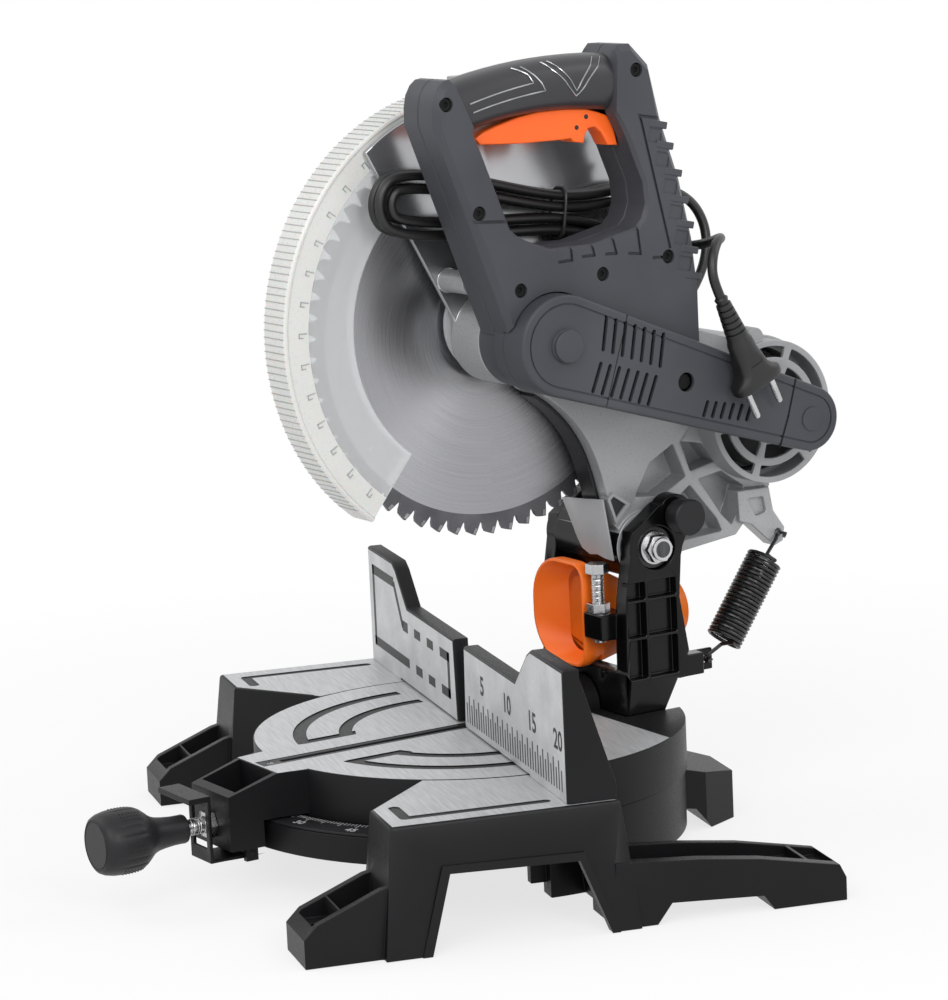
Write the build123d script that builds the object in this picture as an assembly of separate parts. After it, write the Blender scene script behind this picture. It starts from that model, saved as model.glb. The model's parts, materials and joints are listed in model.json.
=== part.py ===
from build123d import *
import os
from math import acos, atan2, ceil, cos, degrees, hypot, pi, radians, sin, sqrt, tan

# Bench miter saw. Millimetres and degrees, +Z up, +X to the user's right, +Y to the rear.
# The origin is on the miter axis, at the level of the bench.
# The turntable and all that it carries are drawn at zero miter and turned to the rest miter at the end.

# Overall layout
table_height = 76.0
rest_miter = 15.0
gap = 0.5
running_gap = 0.05

# Base casting
table_half = 217.0
table_front = -112.0
table_rear = 26.0
front_inner = 173.0
slant_x = 122.0
slant_y = -66.0
draft = 6.0
casting_wall = 6.0
table_plate = 7.0
ring_radius = 135.0
ring_wall = 7.0
ring_bottom = 8.0
ring_top = 45.4
floor_thick = 7.0
hub_radius = 22.0
shelf_radius = 160.0
shelf_bottom = 29.0
shelf_half_angle = 62.0
foot_inner = 176.0
foot_outer = 219.0
toe_front = -166.0
toe_rear = 163.0
bolt_x = 197.0
bolt_front_y = -151.5
bolt_rear_y = 151.5
bolt_hole_radius = 4.5
arch_front = -93.0
arch_rear = 15.0
arch_top = 46.0
rear_arch_start = 44.0
rear_arch_end = 118.0
rear_arch_top = 12.0
groove_depth = 0.8
groove_width = 8.5

# Miter scale strip
scale_thick = 1.6
scale_inner = 139.0
scale_outer = 158.5
scale_half_angle = 54.0
scale_screw_radius = 3.2

# Fences
fence_face_y = -5.0
fence_thick = 10.0
fence_inner_low = 7.5
fence_inner_high = 11.0
fence_low_height = 53.5
fence_high_height = 79.0
fence_step_start = 119.0
fence_step_end = 152.0
fence_end = table_half - 3.0
fence_gap = 1.2
fence_foot = 7.0
fence_foot_start = 146.0
fence_bolt_radius = 4.0
fence_slide = 48.0

# Turntable
turn_radius = 136.5
turn_bottom = 46.0
turn_plate = 9.0
turn_skirt = 8.0
arm_half_root = 30.0
arm_half_mid = 26.0
arm_half_front = 24.0
arm_mid_y = -152.0
arm_front_y = -185.5
arm_front_top = 66.0
arm_bottom = 32.0
kerf_width = 11.4
kerf_slot = 3.6
kerf_front = -150.0
kerf_rear = 45.0
insert_thick = 3.2
bolt_radius = 6.0

# Miter lock knob and detent lever
knob_z = 45.5
knob_end = -263.5
knob_neck = -204.0
knob_radius = 20.0
neck_radius = 8.2
stud_radius = 5.0
lever_plate = 2.0
lever_half = 13.0
lever_tab_reach = 28.0
lever_tab_depth = 12.5
lever_pin = 2.4
lever_ear = 4.0
tilt_room = 2.2
blade_depth = 16.0

# Bevel bracket and head pivot
bracket_front = 87.0
bracket_rear = 117.0
bracket_bottom = 70.0
bracket_wall_top = 103.0
cheek_outer = 49.0
cheek_inner = 37.0
pivot_y = 114.5
pivot_z = 180.5
pivot_radius = 8.0
pivot_boss = 20.0
lock_y = 130.0
lock_z = 200.0
lock_radius = 4.0
lock_knob_radius = 9.5
spring_x = 43.0

# Head
spindle_y = 23.7
spindle_z = 323.2
motor_y = 205.5
motor_z = 257.0
blade_radius = 127.5
blade_thick = 2.6
blade_teeth = 60
spindle_radius = 8.0
guard_center_z = 330.5
guard_radius = 146.0
guard_wall = 2.5
guard_left = -17.0
guard_right = 8.6
guard_inner = 96.4
guard_low_angle = 231.5
guard_high_angle = 86.0
plate_x = 9.0
plate_thick = 3.5
plate_radius = 141.0
shell_radius = 151.5
shell_wall = 2.5
shell_left = -22.0
shell_start = 4.0
shell_end = 92.0
drum_radius = 29.3
arm_x = 34.0
hub_half = 36.5
arm_hub_radius = 22.0
motor_radius = 46.0
motor_wall = 3.0
motor_left = -75.0
cap_face = 52.0
cap_thick = 3.0

# Handle and belt case
handle_left_x = 41.0
handle_split = 61.5
handle_right_x = 82.0
handle_wall = 3.0
case_back = 69.0
case_floor = 72.0
cover_face = 94.0
cover_wall = 2.5
cover_gap = 0.9
cover_large = 31.0
cover_small = 20.5
pulley_start = 76.0
pulley_end = 88.0
driven_radius = 24.0
drive_radius = 9.0
belt_thick = 2.2
belt_gap = 0.3
trigger_left = 54.0
trigger_right = 69.0
trigger_gap = 1.2

# Mains cord
cord_radius = 3.1
hank_loops = 4
hank_outer = 18.2
hank_inner = 10.0
hank_pinch = 3.6
hank_layer = 7.8
hank_x = 22.8
hank_tilt = -7.7
hank_mid_y = 65.0
hank_mid_z = 396.0
hank_front = -112.0
hank_back = 42.0
hank_lead = 63.0
plug_half_width = 17.5
plug_thick = 18.0
plug_body = 32.0
plug_sleeve = 30.0
pin_radius = 2.2
pin_length = 19.0
pin_half_spacing = 9.5

# Return spring
coil_radius = 10.9
wire_radius = 1.05
coil_count = 23
coil_pitch = 2.6


# Small shape helpers
def box(x0, x1, y0, y1, z0, z1):
    return Pos((x0 + x1) / 2, (y0 + y1) / 2, (z0 + z1) / 2) * Box(x1 - x0, y1 - y0, z1 - z0)


def bar_x(radius, x0, x1, y, z):
    return Pos((x0 + x1) / 2, y, z) * Rot(0, 90, 0) * Cylinder(radius, x1 - x0)


def bar_y(radius, y0, y1, x, z):
    return Pos(x, (y0 + y1) / 2, z) * Rot(90, 0, 0) * Cylinder(radius, y1 - y0)


def bar_z(radius, z0, z1, x, y):
    return Pos(x, y, (z0 + z1) / 2) * Cylinder(radius, z1 - z0)


def hex_x(radius, x0, x1, y, z):
    return slab_x(Pos(y, z) * RegularPolygon(radius, 6), x0, x1)


def hex_y(radius, y0, y1, x, z):
    return slab_y(Pos(x, z) * RegularPolygon(radius, 6), y0, y1)


def hex_z(radius, z0, z1, x, y):
    return slab_z(Pos(x, y) * RegularPolygon(radius, 6), z0, z1)


def slab_x(face, x0, x1):
    return extrude(Plane.YZ.offset(x0) * face, amount=x1 - x0, dir=(1, 0, 0))


def slab_y(face, y0, y1):
    return extrude(Plane.XZ.offset(-y0) * face, amount=y1 - y0, dir=(0, 1, 0))


def slab_z(face, z0, z1):
    return extrude(Plane.XY.offset(z0) * face, amount=z1 - z0, dir=(0, 0, 1))


def outline(*points):
    return make_face(Polyline(*points, close=True))


def polar(center, radius, angle):
    return (center[0] + radius * cos(radians(angle)), center[1] + radius * sin(radians(angle)))


def sector(center, inner, outer, start, end):
    middle = (start + end) / 2
    outer_arc = ThreePointArc(*[polar(center, outer, a) for a in (start, middle, end)])
    inner_arc = ThreePointArc(*[polar(center, inner, a) for a in (end, middle, start)])
    first = Line(polar(center, outer, end), polar(center, inner, end))
    last = Line(polar(center, inner, start), polar(center, outer, start))
    return make_face([outer_arc, first, inner_arc, last])


def both_sides(shape):
    return [shape, mirror(shape, about=Plane.YZ)]


def group(*shapes):
    return Compound([solid for shape in shapes for solid in shape.solids()])


def turned(shape):
    solids = [solid.rotate(Axis.Z, rest_miter) for solid in shape.solids()]
    return solids[0] if len(solids) == 1 else Compound(solids)


nodes = {}


# Base casting
def wing_block():
    plan = outline((90, table_rear), (table_half, table_rear), (table_half, table_front),
                   (front_inner, table_front), (slant_x, slant_y), (90, slant_y))
    block = extrude(Plane.XY.offset(table_height) * plan, amount=table_height, dir=(0, 0, -1), taper=-draft)
    inside = offset(plan, -casting_wall)
    depth = table_height - table_plate
    hollow = extrude(Plane.XY.offset(depth) * inside, amount=depth, dir=(0, 0, -1), taper=-draft)
    hollow -= bar_z(turn_radius + gap + casting_wall, 0, table_height, 0, 0)
    return block - hollow


def front_leg():
    root = table_front + casting_wall
    side = outline((root, 0), (root, 44), (table_front - 8, 41), (toe_front + 8, 25), (toe_front, 17),
                   (toe_front, 0))
    leg = slab_x(side, foot_inner, foot_outer)
    trough = outline((table_front - 1, 14), (table_front - 1, 60), (bolt_front_y + 9, 60), (bolt_front_y + 9, 14))
    leg -= slab_x(trough, foot_inner + casting_wall, foot_outer - casting_wall)
    pad = outline((bolt_front_y + 8, 19), (bolt_front_y + 8, 60), (bolt_front_y - 8, 60), (bolt_front_y - 8, 19))
    leg -= slab_x(pad, foot_inner + casting_wall, foot_outer - casting_wall)
    return leg - bar_z(bolt_hole_radius, -1, 60, bolt_x, bolt_front_y)


def rear_leg():
    root = table_rear - casting_wall
    side = outline((root, 0), (root, 40), (73, 36), (110, 31.5), (toe_rear - 4, 22), (toe_rear, 14), (toe_rear, 0))
    leg = slab_x(side, foot_inner, foot_outer + 3)
    arch = outline((rear_arch_start, -1), (rear_arch_start + 10, rear_arch_top),
                   (rear_arch_end - 7, rear_arch_top - 3), (rear_arch_end, -1))
    leg -= slab_x(arch, foot_inner - 1, foot_outer + 4)
    trough = outline((table_rear + 3, 20), (table_rear + 3, 60), (bolt_rear_y - 12, 60), (bolt_rear_y - 12, 20))
    leg -= slab_x(trough, foot_inner + casting_wall, foot_outer - casting_wall)
    pad = outline((bolt_rear_y - 9, 18), (bolt_rear_y - 9, 60), (bolt_rear_y + 7, 60), (bolt_rear_y + 7, 18))
    leg -= slab_x(pad, foot_inner + casting_wall, foot_outer - casting_wall)
    return leg - bar_z(bolt_hole_radius, -1, 60, bolt_x, bolt_rear_y)


def center_foot():
    inner = ring_radius - ring_wall + 1
    plan = outline((-39, inner), (39, inner), (39, 143), (20, 168), (-20, 168), (-39, 143))
    foot = slab_z(plan, 0, 40)
    under = outline((120, -1), (120, 16), (136, 14), (148, -1))
    over = outline((inner - 2, 41), (170, 31), (170, 50), (inner - 2, 50))
    return foot - slab_x(under, -50, 50) - slab_x(over, -50, 50)


def table_grooves():
    x0 = table_half - 18
    angle = [(x0, -14), (x0, table_front + 14), (x0 - 24, table_front + 14)]
    groove = offset(Polyline(*angle), groove_width / 2 - 1, side=Side.BOTH)
    return slab_z(make_face(groove), table_height - groove_depth, table_height + 1)


def base_casting():
    wing = wing_block()
    arch = outline((arch_front, -1), (arch_front + 14, arch_top), (arch_rear - 16, arch_top - 2), (arch_rear + 1, -1))
    wing -= slab_x(arch, foot_inner - 20, foot_outer + 30)
    wing = wing + front_leg() + rear_leg()
    wing -= bar_z(turn_radius + 2 * gap, ring_top, table_height + 1, 0, 0)
    wing -= box(0, foot_inner - 8, -200, 5, -1, shelf_bottom)
    ring = bar_z(ring_radius, ring_bottom, ring_top, 0, 0) - box(-200, 200, -200, -5, 0, shelf_bottom)
    shelf = slab_z(sector((0, 0), ring_radius - 20, shelf_radius, -90 - shelf_half_angle, -90 + shelf_half_angle),
                   shelf_bottom, ring_top)
    base = ring + shelf + center_foot()
    for side in both_sides(wing):
        base += side
    base -= bar_z(ring_radius - ring_wall, -1, ring_top - floor_thick, 0, 0)
    base += bar_z(hub_radius, 22, ring_top, 0, 0)
    base -= slab_z(sector((0, 0), 64, ring_radius - ring_wall - 1, 8, 172), -1, ring_top + 1)
    base -= bar_z(bolt_radius + running_gap, 0, table_height, 0, 0)
    for x in (fence_foot_start + 14, fence_end - 14, -fence_end + 14):
        base -= bar_z(fence_bolt_radius, table_height - 5, table_height + 1, x, table_rear - 11)
    for groove in both_sides(table_grooves()):
        base -= groove
    return base


def miter_scale():
    strip = sector((0, 0), scale_inner, scale_outer, -90 - scale_half_angle, -90 + scale_half_angle)
    scale = slab_z(strip, ring_top, ring_top + scale_thick)
    for angle in scale_screw_angles:
        scale -= bar_z(scale_screw_radius / 2, 0, table_height, *polar((0, 0), scale_screw_ring, angle))
    return scale


scale_screw_ring = (scale_inner + scale_outer) / 2
scale_screw_angles = (-90 - scale_half_angle + 3, -90 + scale_half_angle - 3)


def pan_screw(x, y, z, head_radius, head_height):
    head = bar_z(head_radius, z, z + head_height, x, y)
    slot = box(x - head_radius, x + head_radius, y - 0.5, y + 0.5, z + head_height / 2, z + head_height + 1)
    cross = box(x - 0.5, x + 0.5, y - head_radius, y + head_radius, z + head_height / 2, z + head_height + 1)
    return head - slot - cross


scale_top = ring_top + scale_thick
nodes["base_casting"] = base_casting()
nodes["miter_scale"] = miter_scale()
nodes["scale_screws"] = group(*[pan_screw(*polar((0, 0), scale_screw_ring, angle), scale_top, scale_screw_radius, 1.0)
                                for angle in scale_screw_angles])


# Fences, the left one a mirror image of the right
def fence(web_places):
    low = table_height + fence_low_height
    high = table_height + fence_high_height
    foot = table_height + fence_gap
    face = outline((fence_inner_low, foot), (fence_inner_high, low), (fence_step_start, low),
                   (fence_step_end - 8, high - 4), (fence_step_end, high), (fence_end, high),
                   (fence_end, table_height), (turn_radius + 6, table_height), (turn_radius + 6, foot))
    back = fence_face_y + fence_thick
    body = slab_y(face, fence_face_y, back)
    rear = table_rear - 1
    body += box(fence_foot_start, fence_end, back - 1, rear, table_height, table_height + fence_foot)
    web = outline((back - 1, table_height), (rear, table_height), (rear, table_height + 10), (back, high - 5),
                  (back - 1, high - 5))
    for x in web_places:
        body += slab_x(web, x, x + 6)
    return body


def fence_bolt(x):
    z = table_height + fence_foot
    head = hex_z(6.5, z, z + 5, x, table_rear - 11)
    return head + bar_z(fence_bolt_radius, table_height - 4.5, z + 1, x, table_rear - 11)


def right_fence():
    body = fence((fence_foot_start, fence_end - 6))
    for x in (fence_foot_start + 14, fence_end - 14):
        body -= bar_z(fence_bolt_radius + gap, table_height - 1, table_height + 20, x, table_rear - 11)
    return body


def left_fence():
    body = mirror(fence((fence_end - 6,)), about=Plane.YZ)
    y = table_rear - 11
    half = fence_bolt_radius + gap
    slot = box(clamp_x, clamp_x + fence_slide, y - half, y + half, table_height - 1, table_height + fence_foot + 1)
    for x in (clamp_x, clamp_x + fence_slide):
        slot += bar_z(half, table_height - 1, table_height + fence_foot + 1, x, y)
    return body - slot


# Hand knob that clamps the left fence
def clamp_knob():
    y = table_rear - 11
    z = table_height + fence_foot + 0.3
    return bar_z(6.0, z, z + 15, clamp_x, y) + bar_z(fence_bolt_radius - 0.05, table_height - 4.5, z + 1, clamp_x, y)


clamp_x = -fence_end + 14
nodes["fence_right"] = right_fence()
nodes["fence_bolts"] = group(*[fence_bolt(x) for x in (fence_foot_start + 14, fence_end - 14)])
nodes["fence_left"] = left_fence()
nodes["fence_clamp_knob"] = clamp_knob()


lever_pin_y = -shelf_radius - 8
lever_pin_z = arm_bottom - 8 + lever_pin


# Turntable with its front arm
def arm_body():
    plan = outline((-arm_half_root, -125), (arm_half_root, -125), (arm_half_mid, arm_mid_y),
                   (arm_half_front, arm_front_y), (-arm_half_front, arm_front_y), (-arm_half_mid, arm_mid_y))
    body = slab_z(plan, arm_bottom, table_height)
    drop = (table_height - arm_front_top) / (arm_mid_y - arm_front_y)
    over = outline((arm_mid_y, table_height), (arm_mid_y - 60, table_height - 60 * drop),
                   (arm_mid_y - 60, table_height + 5), (arm_mid_y, table_height + 5))
    body -= slab_x(over, -50, 50)
    return body - box(-60, 60, -shelf_radius - 3, -100, 0, scale_top + 1.4)


def arm_pocket():
    wall = 4.5
    plan = outline((-arm_half_mid + wall, arm_mid_y - 1), (arm_half_mid - wall, arm_mid_y - 1),
                   (arm_half_front - wall + 2, arm_front_y + 6), (-arm_half_front + wall - 2, arm_front_y + 6))
    deep = slab_z(plan, knob_z - 8, table_height + 1) - box(-60, 60, -shelf_radius - 6, 0, 0, scale_top + 6)
    return deep


def turntable_grooves():
    rest = []
    for side in (-1, 1):
        band = sector((0, 0), 74, 74 + groove_width, -78, 8) + sector((0, 0), 103, 103 + groove_width, -78, 8)
        band += outline((27, -110), (27 + groove_width, -110), (27 + groove_width, -60), (27, -60))
        keep = sector((0, 0), 72, 103 + groove_width, -75.4, 8) - outline((0, -140), (27, -140), (27, 60), (0, 60))
        shape = slab_z(band & keep, table_height - groove_depth, table_height + 1)
        shape -= box(-200, 200, fence_face_y - 30, 200, 0, 200)
        rest.append(shape if side > 0 else mirror(shape, about=Plane.YZ))
    return rest


def turntable():
    body = bar_z(turn_radius, turn_bottom, table_height, 0, 0)
    body -= bar_z(turn_radius - turn_skirt, turn_bottom - 1, table_height - turn_plate, 0, 0)
    body += bar_z(hub_radius, turn_bottom, table_height - turn_plate + 1, 0, 0)
    body += arm_body()
    body -= arm_pocket()
    ear = box(-30, 30, bracket_front - 17, bracket_front - 1, turn_bottom, table_height)
    ear += bar_y(20, bracket_front - 17, bracket_front - 1, 0, table_height)
    body -= box(-78, cheek_outer + 1.5, bracket_front - 1, 160, 0, 120)
    body += ear
    body -= box(-14, 14, bracket_front - 30, bracket_front - 17, table_height - 12, table_height + 30)
    ledge = table_height - insert_thick
    body -= box(-kerf_width / 2, kerf_width / 2, kerf_front, kerf_rear, ledge, table_height + 1)
    slot = box(-4, 4, kerf_front + 6, kerf_rear - 6, table_height - blade_depth, ledge + 1)
    body -= slot
    lean = outline((0, ledge), (insert_thick + tilt_room, ledge),
                   (blade_depth + tilt_room, table_height - blade_depth), (0, table_height - blade_depth))
    body -= slab_y(lean, kerf_front + 6, kerf_rear - 6)
    body -= bar_z(bolt_radius, 0, table_height - 18, 0, 0)
    body -= bar_y(bolt_radius, 0, 200, 0, table_height) & box(-20, 20, 60, 100, 0, 200)
    body -= bar_y(stud_radius + running_gap, -220, -shelf_radius - 4, 0, knob_z)
    for groove in turntable_grooves():
        body -= groove
    for side in (-1, 1):
        near = lever_half + 0.5
        ear = box(near, near + lever_ear, lever_pin_y - lever_ear, lever_pin_y + lever_ear, lever_pin_z - lever_ear,
                  arm_bottom + 1)
        body += ear if side > 0 else mirror(ear, about=Plane.YZ)
    body -= bar_x(lever_pin + running_gap, -arm_half_root, arm_half_root, lever_pin_y, lever_pin_z)
    return body


def kerf_insert():
    half = kerf_width / 2 - 0.1
    strip = box(-half, half, kerf_front + 0.1, kerf_rear - 0.1, table_height - insert_thick, table_height - 0.2)
    strip -= box(-kerf_slot / 2, kerf_slot / 2, kerf_front + 14, kerf_rear - 14, 0, 200)
    lean = outline((0, table_height + 1), (tilt_room - 1, table_height + 1),
                   (insert_thick + tilt_room + 1, table_height - insert_thick - 1), (0, table_height - insert_thick - 1))
    strip -= slab_y(lean, kerf_front + 14, kerf_rear - 14)
    for y in insert_screw_rows:
        strip -= bar_z(2.6, table_height - 1.8, table_height, 0, y)
    return strip


insert_screw_rows = (kerf_front + 7, kerf_rear - 7)
nodes["turntable"] = turned(turntable())
nodes["kerf_insert"] = turned(kerf_insert())
nodes["insert_screws"] = turned(group(*[pan_screw(0, y, table_height - 1.8, 2.5, 1.5) for y in insert_screw_rows]))
nodes["arm_screw"] = turned(pan_screw(0, -shelf_radius - 1.5, scale_top + 6, 5.0, 2.6))
nodes["miter_pivot_bolt"] = bar_z(bolt_radius, 14, table_height - 18, 0, 0)
nodes["miter_pivot_nut"] = hex_z(10, 12, 21.5, 0, 0) - bar_z(bolt_radius, 0, 50, 0, 0)
bevel_bolt = bar_y(bolt_radius, bracket_front - 26, 142, 0, table_height)
bevel_bolt += hex_y(10, bracket_front - 25, bracket_front - 17, 0, table_height)
nodes["bevel_pivot_bolt"] = turned(bevel_bolt)


# Miter lock knob on its threaded stud, and the detent lever below it
def lock_knob():
    grip = Spline((neck_radius + 0.3, knob_neck - 4), (neck_radius + 2, knob_neck - 15), (knob_radius - 4, knob_neck - 26),
                  (knob_radius, knob_end + 19), (knob_radius - 2.5, knob_end + 4))
    edges = [grip, Line(grip @ 1, (knob_radius - 6, knob_end)), Line((knob_radius - 6, knob_end), (0, knob_end)),
             Line((0, knob_end), (0, knob_neck)), Line((0, knob_neck), (neck_radius, knob_neck)),
             Line((neck_radius, knob_neck), grip @ 0)]
    return Pos(0, 0, knob_z) * revolve(make_face(edges), Axis.Y)


stud_nut_front = arm_front_y - 5.5
nodes["miter_lock_knob"] = turned(lock_knob() - bar_y(stud_radius, knob_neck - 14, knob_neck + 1, 0, knob_z))
nodes["miter_lock_stud"] = turned(bar_y(stud_radius, knob_neck - 14, -shelf_radius - 5, 0, knob_z))
nodes["stud_nut"] = turned(hex_y(9, stud_nut_front, arm_front_y, 0, knob_z)
                           - bar_y(stud_radius + running_gap, -220, -150, 0, knob_z))


def detent_lever():
    front = stud_nut_front - 1 - lever_plate
    low = arm_bottom - 8
    plate = box(-lever_half, lever_half, front, front + lever_plate, low, arm_front_top)
    plate -= box(-8.5, 8.5, front - 1, front + 5, knob_z - 13, knob_z + 13)
    tab = box(-lever_tab_reach, lever_half, front - lever_tab_depth, front + lever_plate, arm_front_top - 3.5, arm_front_top)
    foot = box(-lever_half, lever_half, front, -shelf_radius - 6, low, low + lever_plate)
    tooth = box(-3, 3, -shelf_radius - 8, -shelf_radius - 1, low, shelf_bottom + 1.5)
    reach = lever_half + 0.5 + lever_ear
    pin = bar_x(lever_pin, -reach, reach, lever_pin_y, lever_pin_z)
    return plate + tab + foot + tooth + pin


nodes["detent_lever"] = turned(detent_lever())


# Tilting bracket behind the fence
def cheek():
    side = outline((bracket_front, bracket_bottom), (bracket_front + 3, 150), (pivot_y - 20, pivot_z - 4),
                   (pivot_y - 18, pivot_z + 12), (lock_y - 12, lock_z + 8), (lock_y + 8, lock_z + 8),
                   (lock_y + 11, lock_z - 8), (pivot_y + 19, pivot_z - 4), (131, 147), (137, 111),
    (bracket_rear - 3, bracket_bottom))
    plate = slab_x(side, cheek_inner, cheek_outer)
    plate += bar_x(pivot_boss, cheek_inner, cheek_outer, pivot_y, pivot_z)
    return plate + bar_x(13, cheek_inner, cheek_outer, lock_y, lock_z)


def cheek_pockets():
    rows = ((98, 123), (125, 147), (149, 160))
    columns = ((91.5, 104.5), (106.7, 128))
    return [box(cheek_outer - 6, cheek_outer + 1, c[0], c[1], r[0], r[1]) for r in rows for c in columns]


def bevel_bracket():
    body = box(-cheek_outer, cheek_outer, bracket_front, bracket_rear, bracket_bottom, bracket_wall_top)
    for side in both_sides(cheek()):
        body += side
    body += bar_y(24, bracket_front, bracket_front + 20, 0, table_height)
    body -= box(-chute_left - 1, 30, bracket_front + 12, bracket_rear + 1, bracket_bottom + 14, 200)
    for pocket in cheek_pockets():
        body -= both_sides(pocket)
    lug = box(stop_x - 7, cheek_inner + 1, stop_y - 7, 98, stop_lug_low, stop_lug_high)
    body += lug
    body += box(cheek_inner + 1, cheek_outer, 128, lug_hole_y - 6, 94, 108)
    body += box(cheek_inner + 1, cheek_inner + 4, 128, lug_hole_y + 6, 94, 108)
    body -= bar_x(2.6, 0, 100, lug_hole_y, lug_hole_z)
    body -= bar_z(4.0, 100, 160, stop_x, stop_y)
    body -= bar_x(pivot_radius, -100, 100, pivot_y, pivot_z)
    body -= both_sides(bar_x(14, cheek_outer - 5, cheek_outer + 1, pivot_y, pivot_z))
    body -= bar_x(lock_radius + running_gap, 0, 100, lock_y, lock_z)
    body -= bar_y(bolt_radius + running_gap, 0, 200, 0, table_height)
    return body


stop_x = 25.0
stop_lug_low = 123.5
stop_lug_high = 140.0
stop_y = 84.5
lug_hole_y = 154.0
lug_hole_z = 101.0
chute_left = 37.0
nodes["bevel_bracket"] = turned(bevel_bracket())
stop_bolt = bar_z(4.0, stop_lug_low - 3, 166, stop_x, stop_y) + hex_z(7.5, 165, 171.5, stop_x, stop_y)
nodes["depth_stop_bolt"] = turned(stop_bolt)
nodes["depth_stop_nut"] = turned(hex_z(7.5, stop_lug_high, stop_lug_high + 6, stop_x, stop_y) - bar_z(4.0, 100, 200, stop_x, stop_y))
seat = cheek_outer - 5
pivot_bolt = bar_x(pivot_radius, -seat - 9, seat + 12, pivot_y, pivot_z)
pivot_bolt += hex_x(12.5, -seat - 10, -seat - 1.5, pivot_y, pivot_z)
nodes["head_pivot_bolt"] = turned(pivot_bolt)
nodes["head_pivot_nut"] = turned(hex_x(12.5, seat + 1.5, seat + 9, pivot_y, pivot_z)
                                 - bar_x(pivot_radius, 0, 100, pivot_y, pivot_z))
washer = bar_x(13.5, seat, seat + 1.5, pivot_y, pivot_z) - bar_x(pivot_radius, 0, 100, pivot_y, pivot_z)
nodes["pivot_washers"] = turned(group(*both_sides(washer)))


# Dust chute through the bracket: a D-shaped mouth at the front, a round spigot at the rear
def chute_form(grow):
    left = -35.5 - grow
    right = 14 + grow
    low = 105 - grow
    high = 171 + grow
    round_side = 27 + grow
    mouth = make_face([
        Line((right, low), (right, high)), Line((right, high), (left + round_side, high)),
        ThreePointArc((left + round_side, high), polar((left + round_side, high - round_side), round_side, 135),
                      (left, high - round_side)),
        Line((left, high - round_side), (left, low + round_side)),
        ThreePointArc((left, low + round_side), polar((left + round_side, low + round_side), round_side, 225),
                      (left + round_side, low)),
        Line((left + round_side, low), (right, low))])
    throat = Pos(0, spigot_z) * Circle(spigot_radius + grow)
    funnel = loft([Plane.XZ.offset(-mouth_y) * mouth, Plane.XZ.offset(-throat_y) * throat])
    return funnel + bar_y(spigot_radius + grow, throat_y - 0.5, spigot_y, 0, spigot_z)


mouth_y = 79.0
throat_y = 128.0
spigot_y = 158.0
spigot_z = 129.0
spigot_radius = 17.0
chute_wall = 2.3
nodes["dust_chute"] = turned(chute_form(chute_wall) - chute_form(0))


bevel_lever_reach = 30.0


# Bevel lock lever on the end of the bevel pivot bolt
def bevel_lever():
    y0 = bracket_rear + 0.5
    hub = bar_y(13, y0, y0 + 16, 0, table_height)
    hub += box(-bevel_lever_reach, 0, y0 + 5, y0 + 13, table_height - 6, table_height + 5)
    return hub - bar_y(bolt_radius + running_gap, 0, 200, 0, table_height)


nodes["bevel_lock_lever"] = turned(bevel_lever())

# Head lock pin with its knob
nodes["head_lock_pin"] = turned(bar_x(lock_radius, cheek_inner + 0.3, cheek_outer + 12, lock_y, lock_z))
lock_knob_shape = bar_x(lock_knob_radius, cheek_outer + 0.4, cheek_outer + 17, lock_y, lock_z)
nodes["head_lock_knob"] = turned(lock_knob_shape - bar_x(lock_radius, 0, cheek_outer + 12, lock_y, lock_z))

# Arm casting: right plate of the upper guard, spindle drum, arm, hub, motor ring and spring lug
guard_center = (spindle_y, guard_center_z)
spindle_center = (spindle_y, spindle_z)
motor_center = (motor_y, motor_z)


def guard_plate():
    front = polar(guard_center, plate_radius, 127.4)
    top = polar(guard_center, plate_radius, shell_end)
    step = polar(guard_center, shell_radius, shell_end)
    back = polar(guard_center, shell_radius, shell_start)
    edges = [ThreePointArc(front, polar(guard_center, plate_radius, 110), top), Line(top, step),
             ThreePointArc(step, polar(guard_center, shell_radius, 48), back), Line(back, (150, 300)),
             Line((150, 300), (60, 297)), Line((60, 297), (2, 318)), Line((2, 318), (-6, 338)), Line((-6, 338), front)]
    return slab_x(make_face(edges), plate_x, plate_x + plate_thick)


def arm_front():
    return Spline((38, 288), (63, 269), (77, 249.6), (86, 226), (pivot_y - arm_hub_radius + 0.5, 196))


def arm_web():
    lower = arm_front()
    edges = [lower, Line(lower @ 1, (pivot_y, pivot_z - 10)), Line((pivot_y, pivot_z - 10), (137, 171)),
             Line((137, 171), (187, 177)), Line((187, 177), (215, 206)), Line((215, 206), (195, 303)),
             Line((195, 303), (40, 352)), Line((40, 352), (38, 288))]
    return slab_x(make_face(edges), plate_x, arm_x)


def arm_pockets():
    shapes = [
        outline((140, 242), (122, 232), (110, 212), (130, 210), (149, 220)),
        outline((146, 243), (153, 223), (172, 227), (162, 240)),
        outline((138, 204), (152, 214), (172, 190), (176, 181), (141, 179)),
        outline((159, 217), (177, 220), (194, 208), (184, 184), (176, 192))]
    return [slab_x(shape, arm_x - 16, arm_x + 1) for shape in shapes]


def spring_lug():
    side = outline((186, 206), (211, 206), (214, 190), (222.5, 178), (221, 169), (214, 166.5), (196, 183), (187, 186))
    lug = slab_x(side, arm_x - 8, spring_x - 4.5)
    window = outline((194, 200), (206, 200), (208, 190), (200, 188))
    return lug - slab_x(window, spring_x - 8, spring_x + 6) - bar_x(2.6, 0, 100, *lug_hole)


lug_hole = (217.0, 175.0)
standoffs = ((-8.0, 360.0), (112.0, 345.0))


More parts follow.
